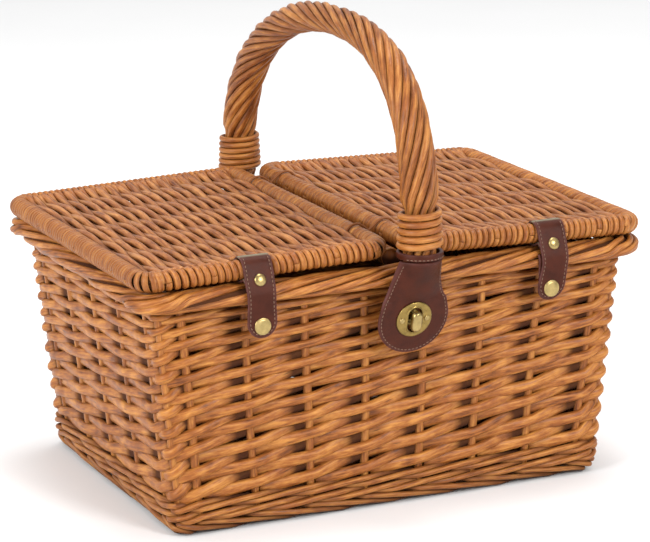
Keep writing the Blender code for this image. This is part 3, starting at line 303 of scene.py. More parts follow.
def leather(name, body, worn, back):
    """Leather with a fine pebbled grain, rubbed lighter along its rim, and a paler raw back."""
    material, tree, shader, make = network(name)
    spot = make("ShaderNodeTexCoord").outputs["Object"]
    rim = make("ShaderNodeAttribute", attribute_name="proud").outputs["Fac"]
    grain = make("ShaderNodeTexVoronoi", {"Vector": spot, "Scale": 1500.0, "Randomness": 1.0}).outputs["Distance"]
    cloud = make("ShaderNodeTexNoise", {"Vector": spot, "Scale": 90.0, "Detail": 6.0, "Roughness": 0.6}).outputs["Fac"]
    colour = ramp(make, remap(make, cloud, 0.3, 0.7), [(0.0, [c * 0.72 for c in body]), (1.0, [c * 1.25 for c in body])])
    edge = math_node(make, "MULTIPLY", rim, remap(make, cloud, 0.35, 0.65, 0.35, 1.0))
    colour = mix(make, edge, colour, (*worn, 1.0))
    raw = make("ShaderNodeAttribute", attribute_name="shade").outputs["Fac"]
    fleck = remap(make, cloud, 0.3, 0.7, 0.82, 1.0)
    colour = mix(make, math_node(make, "MULTIPLY", raw, fleck), colour, (*back, 1.0))
    tree.links.new(colour, shader.inputs["Base Color"])
    shader.inputs["Specular IOR Level"].default_value = 0.14
    rough = math_node(make, "ADD", remap(make, cloud, 0.3, 0.7, 0.34, 0.50), math_node(make, "MULTIPLY", raw, 0.4))
    tree.links.new(rough, shader.inputs["Roughness"])
    height = math_node(make, "ADD", grain, math_node(make, "MULTIPLY", cloud, 0.7))
    bump = make("ShaderNodeBump", {"Height": height, "Strength": 0.30, "Distance": 0.0004})
    tree.links.new(bump.outputs[0], shader.inputs["Normal"])
    return material


def thread(name, colour):
    """Waxed thread with a twist."""
    material, tree, shader, make = network(name)
    spot = make("ShaderNodeTexCoord").outputs["Object"]
    twist = make("ShaderNodeTexNoise", {"Vector": spot, "Scale": 2600.0, "Detail": 2.0}).outputs["Fac"]
    shown = ramp(make, twist, [(0.35, [c * 0.6 for c in colour]), (0.65, [c * 1.2 for c in colour])])
    tree.links.new(shown, shader.inputs["Base Color"])
    shader.inputs["Roughness"].default_value = 0.62
    bump = make("ShaderNodeBump", {"Height": twist, "Strength": 0.4, "Distance": 0.0002})
    tree.links.new(bump.outputs[0], shader.inputs["Normal"])
    return material


def brass(name, colour, roughness):
    """Antique brass: cloudy tarnish and fine rubbing marks."""
    material, tree, shader, make = network(name)
    spot = make("ShaderNodeTexCoord").outputs["Object"]
    cloud = make("ShaderNodeTexNoise", {"Vector": spot, "Scale": 160.0, "Detail": 5.0, "Roughness": 0.6}).outputs["Fac"]
    lines = make("ShaderNodeMapping", {"Vector": spot, "Scale": (1.0, 1.0, 14.0)}).outputs[0]
    rub = make("ShaderNodeTexNoise", {"Vector": lines, "Scale": 420.0, "Detail": 3.0}).outputs["Fac"]
    shown = ramp(make, remap(make, cloud, 0.32, 0.68), [(0.0, [c * 0.62 for c in colour]), (1.0, colour)])
    tree.links.new(shown, shader.inputs["Base Color"])
    shader.inputs["Metallic"].default_value = 1.0
    tree.links.new(remap(make, cloud, 0.3, 0.7, roughness, roughness + 0.16), shader.inputs["Roughness"])
    bump = make("ShaderNodeBump", {"Height": rub, "Strength": 0.10, "Distance": 0.0002})
    tree.links.new(bump.outputs[0], shader.inputs["Normal"])
    return material


DARK = (0.090, 0.022, 0.005)
MIDDLE = (0.300, 0.094, 0.017)
LIGHT = (0.560, 0.240, 0.052)
TINT = (0.245, 0.062, 0.018)
WALL = willow("willow_wall", DARK, MIDDLE, LIGHT, TINT, 0.0037)
ROUND = willow("willow_round", DARK, MIDDLE, LIGHT, TINT, 0.0042)
LID = willow("willow_lid", DARK, (0.290, 0.095, 0.024), (0.520, 0.230, 0.070), TINT, 0.0044)
CANE = willow("cane_wrapped", DARK, (0.290, 0.092, 0.018), (0.520, 0.225, 0.054), TINT, 0.0030)
HIDE = leather("leather_brown", (0.052, 0.0108, 0.0045), (0.110, 0.042, 0.038), (0.240, 0.215, 0.150))
STITCH = thread("waxed_thread", (0.175, 0.092, 0.055))
BRASS = brass("brass_plain", (0.500, 0.370, 0.150), 0.26)
PLATE = brass("brass_plate", (0.330, 0.225, 0.070), 0.24)


# The wall's ring, counted in stakes: corners at 0, 9, 15 and 24, from the front left corner

SIDES = (
    (0, FRONT_SHARES, (1, 0), (0, -1), 0),
    (9, END_SHARES, (0, 1), (1, 0), 1),
    (15, FRONT_SHARES, (-1, 0), (0, 1), 0),
    (24, END_SHARES, (0, -1), (-1, 0), 1),
)
STAKES = 30


def wall_half(height):
    """Half the wall's width and depth, on its outer face, at a height."""
    share = height / WALL_TOP
    return BASE_X + (TOP_X - BASE_X) * share, BASE_Y + (TOP_Y - BASE_Y) * share


def ring(turn, height, off):
    """Places and outward directions round the wall, for stake counts, heights and offsets from the outer face."""
    turn = np.mod(np.mod(np.asarray(turn, float), STAKES), STAKES)
    height = np.broadcast_to(height, turn.shape)
    off = np.broadcast_to(off, turn.shape)
    spots = np.zeros((*turn.shape, 3))
    outs = np.zeros((*turn.shape, 3))
    half_x, half_y = wall_half(height)
    bend = CORNER * math.pi / 4.0
    for start, shares, way, out, long in SIDES:
        slopes = np.array([-1.0, *shares, 1.0])
        plus = np.array([CORNER - bend] + [0.0] * len(shares) + [bend - CORNER])
        picked = (turn >= start) & (turn < start + len(slopes) - 1)
        local = turn[picked] - start
        near = np.minimum(local.astype(int), len(slopes) - 2)
        part = local - near
        half = (half_x, half_y)[long][picked]
        other = (half_y, half_x)[long][picked]
        run = ((slopes[near] * half + plus[near]) * (1.0 - part)
               + (slopes[near + 1] * half + plus[near + 1]) * part)
        over = np.maximum(0.0, np.abs(run) - (half - CORNER))
        angle = over / CORNER
        reach = CORNER + off[picked]
        x = np.sign(run) * (np.minimum(np.abs(run), half - CORNER) + reach * np.sin(angle))
        y = (other - CORNER) + reach * np.cos(angle)
        way = np.array([*way, 0.0])
        out = np.array([*out, 0.0])
        spots[picked] = x[:, None] * way + y[:, None] * out
        outs[picked] = (np.sign(run) * np.sin(angle))[:, None] * way + np.cos(angle)[:, None] * out
    spots[..., 2] = height
    return spots, outs


STAKE_OFF = -0.0062
CROSS_OFF = 0.0028


def side_strands():
    """The wall of single rods: each starts at its own stake and climbs half a row a stake."""
    bundle = Bundle()
    levels = np.arange(len(ROW_HEIGHTS))
    for stake in range(STAKES):
        count = np.arange(-0.9, 21.46, 0.1)
        level = np.clip(count / 2.0, 0.0, 10.0)
        height = np.interp(level, levels, ROW_HEIGHTS) + np.minimum(0.0, count) * 0.0080
        height = height + RANDOM.normal(0.0, 0.0006) + 0.0007 * np.sin(count * 1.9 + RANDOM.random() * 6.0)
        pitch = np.interp(level, levels[:-1] + 0.5, np.diff(ROW_HEIGHTS))
        height = height - 0.055 * pitch * np.cos(math.pi * count)
        height = np.minimum(height, 0.1782)
        phase = np.interp(np.mod(count, 2.0), [-0.05 + 0.0, 0.05, 0.88, 2.05], [-0.0855, 0.0, 1.0, 2.0])
        wave = np.arcsin(0.95 * np.cos(math.pi * phase)) / math.asin(0.95)
        off = STAKE_OFF + CROSS_OFF * wave
        thick = 1.0 + RANDOM.normal(0.0, 0.05)
        wide = thick * pitch * (0.350 - 0.070 * wave)
        wide = wide * np.interp(count, [-0.9, -0.5, 21.0, 21.5], [0.75, 0.95, 1.0, 0.7])
        deep = np.minimum(wide * 0.90, 0.0037)
        # Painted shade: strands count as sunk where they pass behind a stake, and more so in a dark hole just left of
        # each stake.
        hole_shade = np.exp(-((np.mod(count + 0.18, 2.0) - 1.0) / 0.16) ** 2)
        spots, outs = ring(stake + count, height, off)
        bundle.tube(spots, wide, deep, outs, 10, 0.5 * (wave - 1.0) * CROSS_OFF - 0.0060 * hole_shade,
                    inner=-0.5 * (wave + 1.0) * CROSS_OFF)
    return bundle.build("side_strands", WALL, "basket", "willow", ["side_weave"])


def stake_rods():
    """The upright stakes, a little oval, from the foot to the border."""
    bundle = Bundle()
    nodes = [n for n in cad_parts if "stake" in n]
    for stake in range(STAKES):
        height = np.linspace(0.006, 0.186, 26)
        lean = 0.0006 * np.sin(height * 40.0 + RANDOM.random() * 6.0) / 0.046
        spots, outs = ring(stake + lean, height, STAKE_OFF)
        size = 1.0 + RANDOM.normal(0.0, 0.05)
        # Painted shade: the stakes count as a little sunk, so the willow paints them darker where they show between the
        # strands.
        bundle.tube(spots, 0.0036 * size, 0.0029 * size, outs, 10, np.full(26, -0.0014), inner=np.full(26, -0.0014))
    return bundle.build("stake_rods", WALL, "basket", "willow", nodes)


def wale_rods():
    """Two rows of three rods each round the foot of the wall, in front of two stakes and behind one."""
    bundle = Bundle()
    for row, middle in enumerate((0.0148, 0.0236)):
        for rod in range(3):
            count = np.arange(0.0, STAKES, 0.125)
            phase = FULL * (count - rod - row * 0.5) / 3.0
            wave = np.clip(np.cos(phase) * 1.1 + 0.40, -0.9, 1.0)
            off = STAKE_OFF + 0.0036 * wave + 0.0006
            height = middle + 0.0026 * np.sin(phase) + RANDOM.normal(0.0, 0.0003)
            spots, outs = ring(count, height, off)
            size = 0.0024 * (1.0 + 0.06 * np.sin(count * FULL * 3.0 / STAKES + row + rod))
            # Painted shade: each rod counts as sunk by how far it lies behind the stakes, so the willow darkens it
            # there.
            bundle.tube(spots, size, size, outs, 8, off - STAKE_OFF - 0.0048, closed=True, inner=STAKE_OFF - off - 0.0020)
    return bundle.build("wale_rods", WALL, "basket", "willow")


def foot_rods():
    """The foot border: each stake's end comes out, runs down to the right and tucks under."""
    bundle = Bundle()
    for stake in range(STAKES):
        count = np.linspace(-0.35, 2.05, 30)
        share = (count + 0.35) / 2.40
        height = np.interp(share, [0.0, 0.20, 0.85, 1.0], [0.0108, 0.0098, 0.0026, 0.0026])
        off = np.interp(share, [0.0, 0.14, 0.45, 0.80, 1.0], [-0.0110, -0.0030, -0.0024, -0.0060, -0.0135])
        off = off + RANDOM.normal(0.0, 0.0004)
        size = np.interp(share, [0.0, 0.3, 0.8, 1.0], [0.0019, 0.0023, 0.0021, 0.0015]) * (1.0 + RANDOM.normal(0.0, 0.06))
        spots, outs = ring(stake + count, height, off)
        # Painted shade: the rods count as sunk where they tuck under, so the willow darkens them there.
        bundle.tube(spots, size, size, outs, 8, off + 0.0012)
    return bundle.build("foot_rods", ROUND, "basket", "willow", ["foot_border"])


def border_rods():
    """The plaited top border: three rods from every two stakes wind slowly round the oval rim."""
    bundle = Bundle()
    count = np.arange(0.0, STAKES, 0.25)
    spots, outs = ring(count, np.full(len(count), WALL_TOP), BORDER_INSET)
    spots[:, 2] = BORDER_Z
    # Painted shade: the core and the filler count as deeply sunk, so the willow paints them dark where they show
    # between the rods.
    bundle.tube(spots, BORDER_HIGH - 0.0034, BORDER_WIDE - 0.0034, outs, 12, np.full(len(count), -0.016), closed=True)
    spots, outs = ring(count, np.full(len(count), WALL_TOP), STAKE_OFF + 0.0004)
    spots[:, 2] = WALL_TOP + 0.0012
    bundle.tube(spots, 0.0034, 0.0036, outs, 10, np.full(len(count), -0.0034), closed=True, inner=np.full(len(count), -0.0020))
    for stake in np.arange(0.0, STAKES, 2.0 / 3.0):
        stakes = 4.2 + RANDOM.normal(0.0, 0.15)
        share = np.linspace(0.0, 1.0, 64)
        count = stakes * share
        angle = np.radians(-118.0 + 300.0 * share + RANDOM.normal(0.0, 4.0) + 7.0 * np.sin(count * 1.6 + RANDOM.random() * 6.0))
        size = 0.00272 * np.interp(share, [0.0, 0.15, 0.6, 1.0], [0.80, 1.04, 1.00, 0.55]) * (1.0 + RANDOM.normal(0.0, 0.07))
        sway = 0.0005 * np.sin(count * 2.7 + RANDOM.random() * 6.0) + 0.0008 * (share - 0.5)
        wide = BORDER_WIDE - size + sway
        high = BORDER_HIGH - size + sway
        off = BORDER_INSET + wide * np.cos(angle)
        height = BORDER_Z + high * np.sin(angle)
        flat = np.stack([np.cos(angle) / wide, np.sin(angle) / high], -1)
        flat /= np.linalg.norm(flat, axis=1)[:, None]
        turn = stake + count
        spots, outs = ring(turn, np.full(64, WALL_TOP), off)
        spots[:, 2] = height
        face = outs * flat[:, :1]
        face[:, 2] = flat[:, 1]
        bundle.tube(spots, size, size, face, 10, sway * 2.0 + 0.0010)
    return bundle.build("border_rods", ROUND, "basket", "willow", ["top_border"])


# Lids, drawn flat on their plane: distance from the hinge, along the bar, above the plane

def lid_points(side, flat):
    """World places from flat lid places."""
    flat = np.asarray(flat, float)
    tilt = LID_TILT
    out = np.empty_like(flat)
    out[..., 0] = side * (HINGE_X + flat[..., 0] * math.cos(tilt) + flat[..., 2] * math.sin(tilt))
    out[..., 1] = flat[..., 1]
    out[..., 2] = HINGE_Z - flat[..., 0] * math.sin(tilt) + flat[..., 2] * math.cos(tilt)
    return out


def lid_ring(steps=8):
    """The middle line of a lid's frame, once round from its front corner away from the hinge."""
    spots = []
    middle_x = LID_SPAN / 2.0
    half_x = LID_SPAN / 2.0 - LID_CORNER
    half_y = LID_DEPTH - LID_CORNER
    for sx, sy, start in ((1, -1, -90), (1, 1, 0), (-1, 1, 90), (-1, -1, 180)):
        for step in range(steps + 1):
            angle = math.radians(start + 90.0 * step / steps)
            spots.append((middle_x + sx * half_x + LID_CORNER * math.cos(angle),
                          sy * half_y + LID_CORNER * math.sin(angle), 0.0))
    return np.array(spots)


def wound(bundle, side, path, pitch, half_width, half_depth, reach, lean=0.0, jitter=0.0, sides=8, strands=1):
    """Cane wound round a bar: pitch may be a function of the distance run."""
    path = np.asarray(path, float)
    steps = np.linalg.norm(np.diff(path, axis=0), axis=1)
    run = np.concatenate([[0.0], np.cumsum(steps)])
    total = run[-1]
    places = [0.0]
    while places[-1] < total:
        step = pitch(places[-1]) if callable(pitch) else pitch
        places.append(places[-1] + step)
    turns = np.arange(len(places))
    per = 18
    for strand in range(strands):
        count = np.arange(0.0, len(places) - 1 - 1e-6, 1.0 / per)
        where = np.interp(count, turns, places)
        keep = where < total
        count, where = count[keep], where[keep]
        angle = FULL * (count + strand / strands)
        centre = np.stack([np.interp(where, run, path[:, axis]) for axis in range(3)], -1)
        ahead = np.gradient(centre, axis=0)
        ahead /= np.linalg.norm(ahead, axis=1)[:, None]
        up = np.array([0.0, 0.0, 1.0])
        out = np.cross(ahead, up)
        around = out * np.cos(angle)[:, None] + up * np.sin(angle)[:, None]
        wobble = 1.0 + jitter * np.sin(angle * 0.37 + strand) * 0.5
        spots = centre + around * (reach * wobble)[:, None]
        chunk = per * 6
        for start in range(0, len(spots) - 2, chunk):
            part = slice(start, min(start + chunk + 1, len(spots)))
            bundle.tube(lid_points(side, spots[part]), half_width, half_depth,
                        lid_points(side, around[part]) - lid_points(side, np.zeros(3)), sides,
                        shade=0.35 + 0.3 * RANDOM.random())


EDGE_STICK = -0.1303
STRAP_HALF = 0.01225


def lid(side, label, strap_x):
    """A woven lid: bars wound with cane, sticks across and weavers from front to back."""
    strap_at = (strap_x - HINGE_X) / math.cos(LID_TILT)
    core = Bundle()
    loop = lid_ring()
    # Painted shade: the cores and sticks count as sunk, so the willow paints them darker where they show.
    core.tube(np.concatenate([lid_points(side, loop)]), LID_BAR - 0.0030, sides=10, closed=True, off=np.full(len(loop), -0.004))
    core.build(f"{label}_lid_core", CANE, f"{label}_lid", "cane", [f"{label}_lid_frame"])

    wrap = Bundle()
    inner = LID_CORNER * 0.55
    front = np.array([[inner, -LID_DEPTH, 0.0], [LID_SPAN - inner, -LID_DEPTH, 0.0]])
    back = front * np.array([1.0, -1.0, 1.0])
    front_pitch = (lambda run: 0.0066 if run > 0.150 else 0.0056) if side < 0 else 0.0051
    line = np.linspace(front[0], front[1], 60)
    wound(wrap, side, line, front_pitch, 0.00282 if side < 0 else 0.00250, 0.0021, LID_BAR - 0.0021)
    line = np.linspace(back[0], back[1], 60)
    wound(wrap, side, line, 0.0050, 0.00245, 0.0021, LID_BAR - 0.0021)
    outer = loop[np.abs(loop[:, 0] - LID_SPAN / 2.0) > 0.0]
    corner_front = loop[:9]
    corner_back = loop[9:18]
    outer = np.concatenate([corner_front, corner_back])
    outer = np.concatenate([np.linspace(outer[i], outer[i + 1], 2 if i != 8 else 60)[:-1] for i in range(17)] + [outer[-1:]])
    if side < 0:
        wound(wrap, side, outer, 0.0046, 0.0026, 0.0009, LID_BAR - 0.0009, jitter=0.02)
    else:
        wound(wrap, side, outer, 0.0235, 0.0030, 0.0016, LID_BAR - 0.0016, jitter=0.03, strands=4)
    inside = np.concatenate([loop[18:27], loop[27:36]])
    inside = np.concatenate([np.linspace(inside[i], inside[i + 1], 2 if i != 8 else 60)[:-1] for i in range(17)] + [inside[-1:]])
    wound(wrap, side, inside, 0.0060, 0.0034, 0.0009, LID_BAR - 0.0009, jitter=0.02)
    wrap.build(f"{label}_lid_winding", CANE, f"{label}_lid", "cane")

    sticks = Bundle()
    lines = [-0.0911, -0.0456, 0.0, 0.0456, 0.0911]
    for spot in lines + [EDGE_STICK, 0.1330]:
        path = np.linspace([0.004, spot, 0.0], [LID_SPAN - 0.004, spot, 0.0], 30)
        sticks.tube(lid_points(side, path), 0.0026, 0.0016, sides=8, off=np.full(30, -0.002))
    sticks.build(f"{label}_lid_sticks", LID, f"{label}_lid", "willow")

    weave = Bundle()
    room = LID_SPAN - 2.0 * LID_BAR
    total = 39
    y = np.linspace(-LID_DEPTH + 0.004, LID_DEPTH - 0.004, 84)
    knots = np.array([-0.1367, *lines, 0.1367])
    count = np.interp(y, knots, np.arange(7))
    for weaver in range(total):
        middle = LID_BAR + room * (weaver + 0.5) / total
        sign = 1.0 if weaver % 2 else -1.0
        wave = np.cos(math.pi * count) * sign
        edge = np.clip((np.abs(y) - 0.125) / 0.014, 0.0, 1.0)
        height = 0.0018 + 0.0020 * wave * (1.0 - edge) + 0.0028 * edge + 0.0003 * np.sin(y * 90.0 + weaver * 1.7)
        sway = 0.0006 * np.sin(y * 60.0 + RANDOM.random() * 6.0) + RANDOM.normal(0.0, 0.0003)
        size = 0.00266 * (1.0 + RANDOM.normal(0.0, 0.06)) * np.linspace(1.04, 0.96, 84)[:: 1 if RANDOM.random() < 0.5 else -1]
        path = np.stack([middle + sway, y, height], -1)
        if abs(middle - strap_at) < STRAP_HALF + 0.0034:
            kept = y > EDGE_STICK - 0.0018
            path, size, height = path[kept], size[kept], height[kept]
        face = lid_points(side, np.array([0.0, 0.0, 1.0])) - lid_points(side, np.zeros(3))
        # Painted shade: a weaver counts as sunk where it dips under a stick, so the willow darkens it there.
        weave.tube(lid_points(side, path), size * 1.08, size, face, 8, height - 0.0036, inner=-height)
    weave.build(f"{label}_lid_weave", LID, f"{label}_lid", "willow", [f"{label}_lid_panel"])


def cross_bar():
    """The bar under the seam, wound with cane."""
    bundle = Bundle()
    path = np.linspace([0.0, -0.1315, CROSS_Z], [0.0, 0.1315, CROSS_Z], 60)
    # Painted shade: the core counts as sunk, so it is painted darker where it shows between the cane.
    bundle.tube(path, 0.0070, sides=12, off=np.full(60, -0.003))
    steps = 44
    count = np.arange(0, steps, 1 / 16)
    angle = FULL * count
    y = -0.1310 + 0.2620 * count / steps
    around = np.stack([np.cos(angle), np.zeros_like(angle), np.sin(angle)], -1)
    spots = around * 0.0072
    spots[:, 1] = y
    spots[:, 2] += CROSS_Z
    bundle.tube(spots, 0.0028, 0.0008, around, 6)
    return bundle.build("cross_bar", CANE, "basket", "cane", ["centre_cross_bar"])


def base():
    """The woven bottom: sticks across and weavers from left to right, a little above the floor."""
    bundle = Bundle()
    for spot in np.linspace(-0.150, 0.150, 9):
        path = np.linspace([spot, -0.1235, 0.0051], [spot, 0.1235, 0.0051], 24)
        bundle.tube(path, 0.0026, 0.0014, sides=6)
    rows = 50
    x = np.linspace(-0.1725, 0.1725, 90)
    for row in range(rows):
        y = -0.1225 + 0.2450 * (row + 0.5) / rows
        wave = np.cos(math.pi * (x + 0.150) / 0.0375 + math.pi * (row % 2))
        path = np.stack([x, np.full(90, y) + RANDOM.normal(0.0, 0.0002), 0.0051 + 0.0014 * wave], -1)
        bundle.tube(path, 0.0023, 0.0015, sides=6, off=0.0014 * np.abs(wave))
    return bundle.build("base_weave", ROUND, "basket", "willow", ["base_panel"])


# The handle

HANDLE_X = 0.0042
HALF_SPAN = 0.1730
SPRING_Z = 0.2294
RISE = 0.1398
LEAN = 0.0284
FULLNESS = 2.27
APEX = 0.0114
LEG = 0.0144
SWELL = 0.0060
COLLAR_Z = 0.2096
FRONT_LEG = (-1, 0.2150, 4.9, 0.0057, 0.00255, 0.0130, 0.0114)
REAR_LEG = (1, 0.2097, 5.9, 0.00485, 0.00218, 0.0140, 0.0124)
HANDLE_RODS = 11
HANDLE_LAY = 0.1950


def leg_radius(leg, height):
    """A leg's radius at a height: drawn in where it is bound, and swelling above."""
    side, foot_z, turns, pitch, cane, foot, top = leg
    top_z = foot_z + turns * pitch + 2.0 * cane
    if height < top_z:
        share = max(0.0, (height - foot_z) / (top_z - foot_z))
        return foot + (top - foot) * share
    return top + (LEG - top) * min(1.0, (height - top_z) / SWELL)


def bow(leg, height):
    """The station (y, z, radius) of a leg or of the bow at a height."""
    share = min(1.0, max(0.0, (height - SPRING_Z) / RISE))
    width = (1.0 - share ** FULLNESS) ** (1.0 / FULLNESS)
    along = leg[0] * HALF_SPAN * width - LEAN * share ** 2
    return along, height, leg_radius(leg, height) - (LEG - APEX) * (1.0 - width)


def tail(leg):
    """Stations of a leg's tail, from the wall up past the border to its foot."""
    wall_y = wall_half(0.145)[1]
    knots = np.array([
        (wall_y + 0.0055, 0.1450, 0.0052),
        (0.15250, 0.1612, 0.0066),
        (0.1659, 0.1899, 0.0066),
        (0.1730, COLLAR_Z, leg[5]),
    ])
    share = np.linspace(0.0, 3.0, 16)[:-1]
    return [(leg[0] * np.interp(s, range(4), knots[:, 0]), np.interp(s, range(4), knots[:, 1]),
             np.interp(s, range(4), knots[:, 2])) for s in share]


def half_handle(leg):
    """Stations of one half of the handle, from its tail to its apex."""
    stations = tail(leg)
    top_z = leg[1] + leg[2] * leg[3] + 2.0 * leg[4]
    for height in np.linspace(COLLAR_Z, top_z + SWELL, 12):
        stations.append(bow(leg, height))
    for step in range(1, 45):
        height = SPRING_Z + RISE * math.sin(math.pi / 2.0 * step / 44) ** (2.0 / FULLNESS)
        if height > top_z + SWELL + 0.003:
            stations.append(bow(leg, height))
    return stations


def handle():
    """The roped handle: rods laid with a twist round the bow, thinner at its tails."""
    line = np.array(half_handle(FRONT_LEG) + half_handle(REAR_LEG)[-2::-1])
    steps = np.hypot(np.diff(line[:, 0]), np.diff(line[:, 1]))
    run = np.concatenate([[0.0], np.cumsum(steps)])
    fine = np.arange(0.0, run[-1], 0.004)
    y, z, radius = (np.interp(fine, run, line[:, axis]) for axis in range(3))
    ahead_y, ahead_z = np.gradient(y), np.gradient(z)
    size = np.hypot(ahead_y, ahead_z)
    out = np.stack([np.zeros_like(y), -ahead_z / size, ahead_y / size], -1)
    across = np.array([1.0, 0.0, 0.0])
    centre = np.stack([np.full_like(y, HANDLE_X), y, z], -1)
    bundle = Bundle()
    for rod in range(HANDLE_RODS):
        angle = FULL * rod / HANDLE_RODS - FULL * fine / HANDLE_LAY
        around = np.cos(angle)[:, None] * across + np.sin(angle)[:, None] * out
        thick = radius * 0.228 * (1.0 + RANDOM.normal(0.0, 0.07))
        reach = radius - thick + RANDOM.normal(0.0, 0.0002) + 0.0003 * np.sin(fine * 90.0 + rod * 2.0)
        spots = centre + around * reach[:, None]
        # Painted shade: the rods count as a little sunk and the core as deeply sunk, so the willow paints them darker.
        bundle.tube(spots, thick * 0.98, thick * 1.08, around, 10, np.full(len(fine), -0.0016))
    bundle.tube(centre, radius * 0.62, sides=8, face=across, off=np.full(len(fine), -0.006))
    return bundle.build("handle_rods", CANE, "basket", "cane", ["handle_rope"])


def bindings():
    """The cane wound round each foot of the handle."""
    for label, leg in (("front", FRONT_LEG), ("rear", REAR_LEG)):
        side, foot_z, turns, pitch, cane, foot, top = leg
        steps = round(turns * 36)
        share = np.arange(steps + 1) / steps
        rise = turns * pitch * share
        angle = math.radians(155.0) + FULL * turns * share
        reach = np.array([leg_radius(leg, foot_z + r) for r in rise]) + 0.0003 + cane
        around = np.stack([np.sin(angle), -np.cos(angle), np.zeros_like(angle)], -1)
        spots = around * reach[:, None]
        spots[:, 0] += HANDLE_X
        spots[:, 1] += side * HALF_SPAN
        spots[:, 2] = foot_z + cane + rise
        bundle = Bundle()
        for start in range(0, steps, 72):
            part = slice(start, min(start + 73, steps + 1))
            bundle.tube(spots[part], cane * 1.06, cane, around[part], 12)
        bundle.build(f"{label}_foot_winding", CANE, "basket", "cane", [f"handle_{label}_binding"])


# Leather

INSETS = np.array([0.0, 0.0001, 0.0003, 0.0006, 0.0010, 0.0015, 0.0019, 0.0023, 0.0027, 0.0033, 0.0042])
STITCH_INSET = 0.0023


def slices(half_width):
    """Places across a band of leather from one edge to the other, close together near its edges."""
    insets = INSETS * min(1.0, half_width / 0.0065)
    inner = np.linspace(half_width - insets[-1], 0.0, 5)[1:]
    right = np.concatenate([half_width - insets, inner])
    return np.concatenate([-right, right[-2::-1]])


def swell(inset, thick):
    """Half the thickness at a distance from the edge: rounded at the edge, pressed in along the stitching."""
    rounded = np.sqrt(1.0 - (1.0 - np.clip(inset / 0.0007, 0.0, 1.0)) ** 2)
    return thick / 2.0 * rounded, 0.00022 * np.exp(-((inset - STITCH_INSET) / 0.00045) ** 2)


def band(bundle, centres, fronts, halves, inset_at, thick, raw, bend=None):
    """A band of leather along a line, as rings: over its front face and back under its raw one."""
    rings, prouds, shades = [], [], []
    for row, (centre, front, half) in enumerate(zip(centres, fronts, halves)):
        across = slices(half)
        inset = inset_at(row, across)
        rise, groove = swell(inset, thick)
        flat = centre + across[:, None] * np.array([1.0, 0.0, 0.0])
        if bend is not None:
            flat = flat + bend(row, across)
        face = flat + (rise - groove)[:, None] * front
        back = flat - rise[:, None] * front
        rings.append(np.concatenate([face, back[-2:0:-1]]))
        worn = np.exp(-inset / 0.0011)
        prouds.append(np.concatenate([worn, worn[-2:0:-1]]))
        own = np.full(len(across), raw[row])
        under = np.clip(inset / 0.0008, 0.0, 1.0) if 0 < row < len(centres) - 1 else own
        shades.append(np.concatenate([own, under[-2:0:-1]]))
    rings = np.array(rings)
    steps = np.linalg.norm(np.diff(centres, axis=0), axis=1)
    u = np.concatenate([[0.0], np.cumsum(steps)]) * 10.0
    bundle.grid(rings, u, np.linspace(0.0, 1.0, rings.shape[1] + 1), np.array(shades), np.array(prouds), flat=True)


def sew(bundle, line, fronts, length=0.0021, gap=0.0011):
    """A row of stitches along a line on the leather, each dipping in at its ends."""
    steps = np.linalg.norm(np.diff(line, axis=0), axis=1)
    run = np.concatenate([[0.0], np.cumsum(steps)])
    dips = np.array([-0.00035, 0.00010, 0.00020, 0.00010, -0.00035])
    for start in np.arange(0.0006, run[-1] - length, length + gap):
        spots = start + length * np.linspace(0.0, 1.0, 5)
        at = np.stack([np.interp(spots, run, line[:, axis]) for axis in range(3)], -1)
        face = np.stack([np.interp(spots, run, fronts[:, axis]) for axis in range(3)], -1)
        bundle.tube(at + dips[:, None] * face, 0.00036, 0.00030, face, 6)


def smooth_line(points, spacing, reach):
    """A line through points, evenly spaced, with its corners rounded over a reach."""
    points = np.asarray(points, float)
    for _ in range(2):
        steps = np.linalg.norm(np.diff(points, axis=0), axis=1)
        run = np.concatenate([[0.0], np.cumsum(steps)])
        spots = np.linspace(0.0, run[-1], int(run[-1] / spacing) + 2)
        points = np.stack([np.interp(spots, run, points[:, axis]) for axis in range(points.shape[1])], -1)
        wide = max(1, int(reach / spacing / 2.0))
        rounded = points.copy()
        for place in range(1, len(points) - 1):
            own = min(wide, place, len(points) - 1 - place)
            rounded[place] = points[place - own: place + own + 1].mean(0)
        points = rounded
    return points


def across_front(line):
    """The way that a band faces along a (y, z) line, with its front on the left of its run."""
    ahead = np.gradient(line, axis=0)
    ahead /= np.linalg.norm(ahead, axis=1)[:, None]
    return np.stack([np.zeros(len(line)), ahead[:, 1], -ahead[:, 0]], -1)


STRAP_THICK = 0.0018
STRAP_RING = 0.0102
STRAP_HANG = 0.0165
STRAP_KNEE_Z = 0.1925
STRAP_BEND_Z = 0.1885
STRAP_FOOT_Z = 0.1585
SNAP_Z = 0.1680
RIVET_Z = 0.2025


def slant_at(side, height):
    """How far a strap's tail has slanted towards the handle at a height: the right one slants."""
    share = np.clip((STRAP_BEND_Z - height) / (STRAP_BEND_Z - STRAP_FOOT_Z), 0.0, 1.0)
    return -0.0055 * share if side > 0 else 0.0 * share


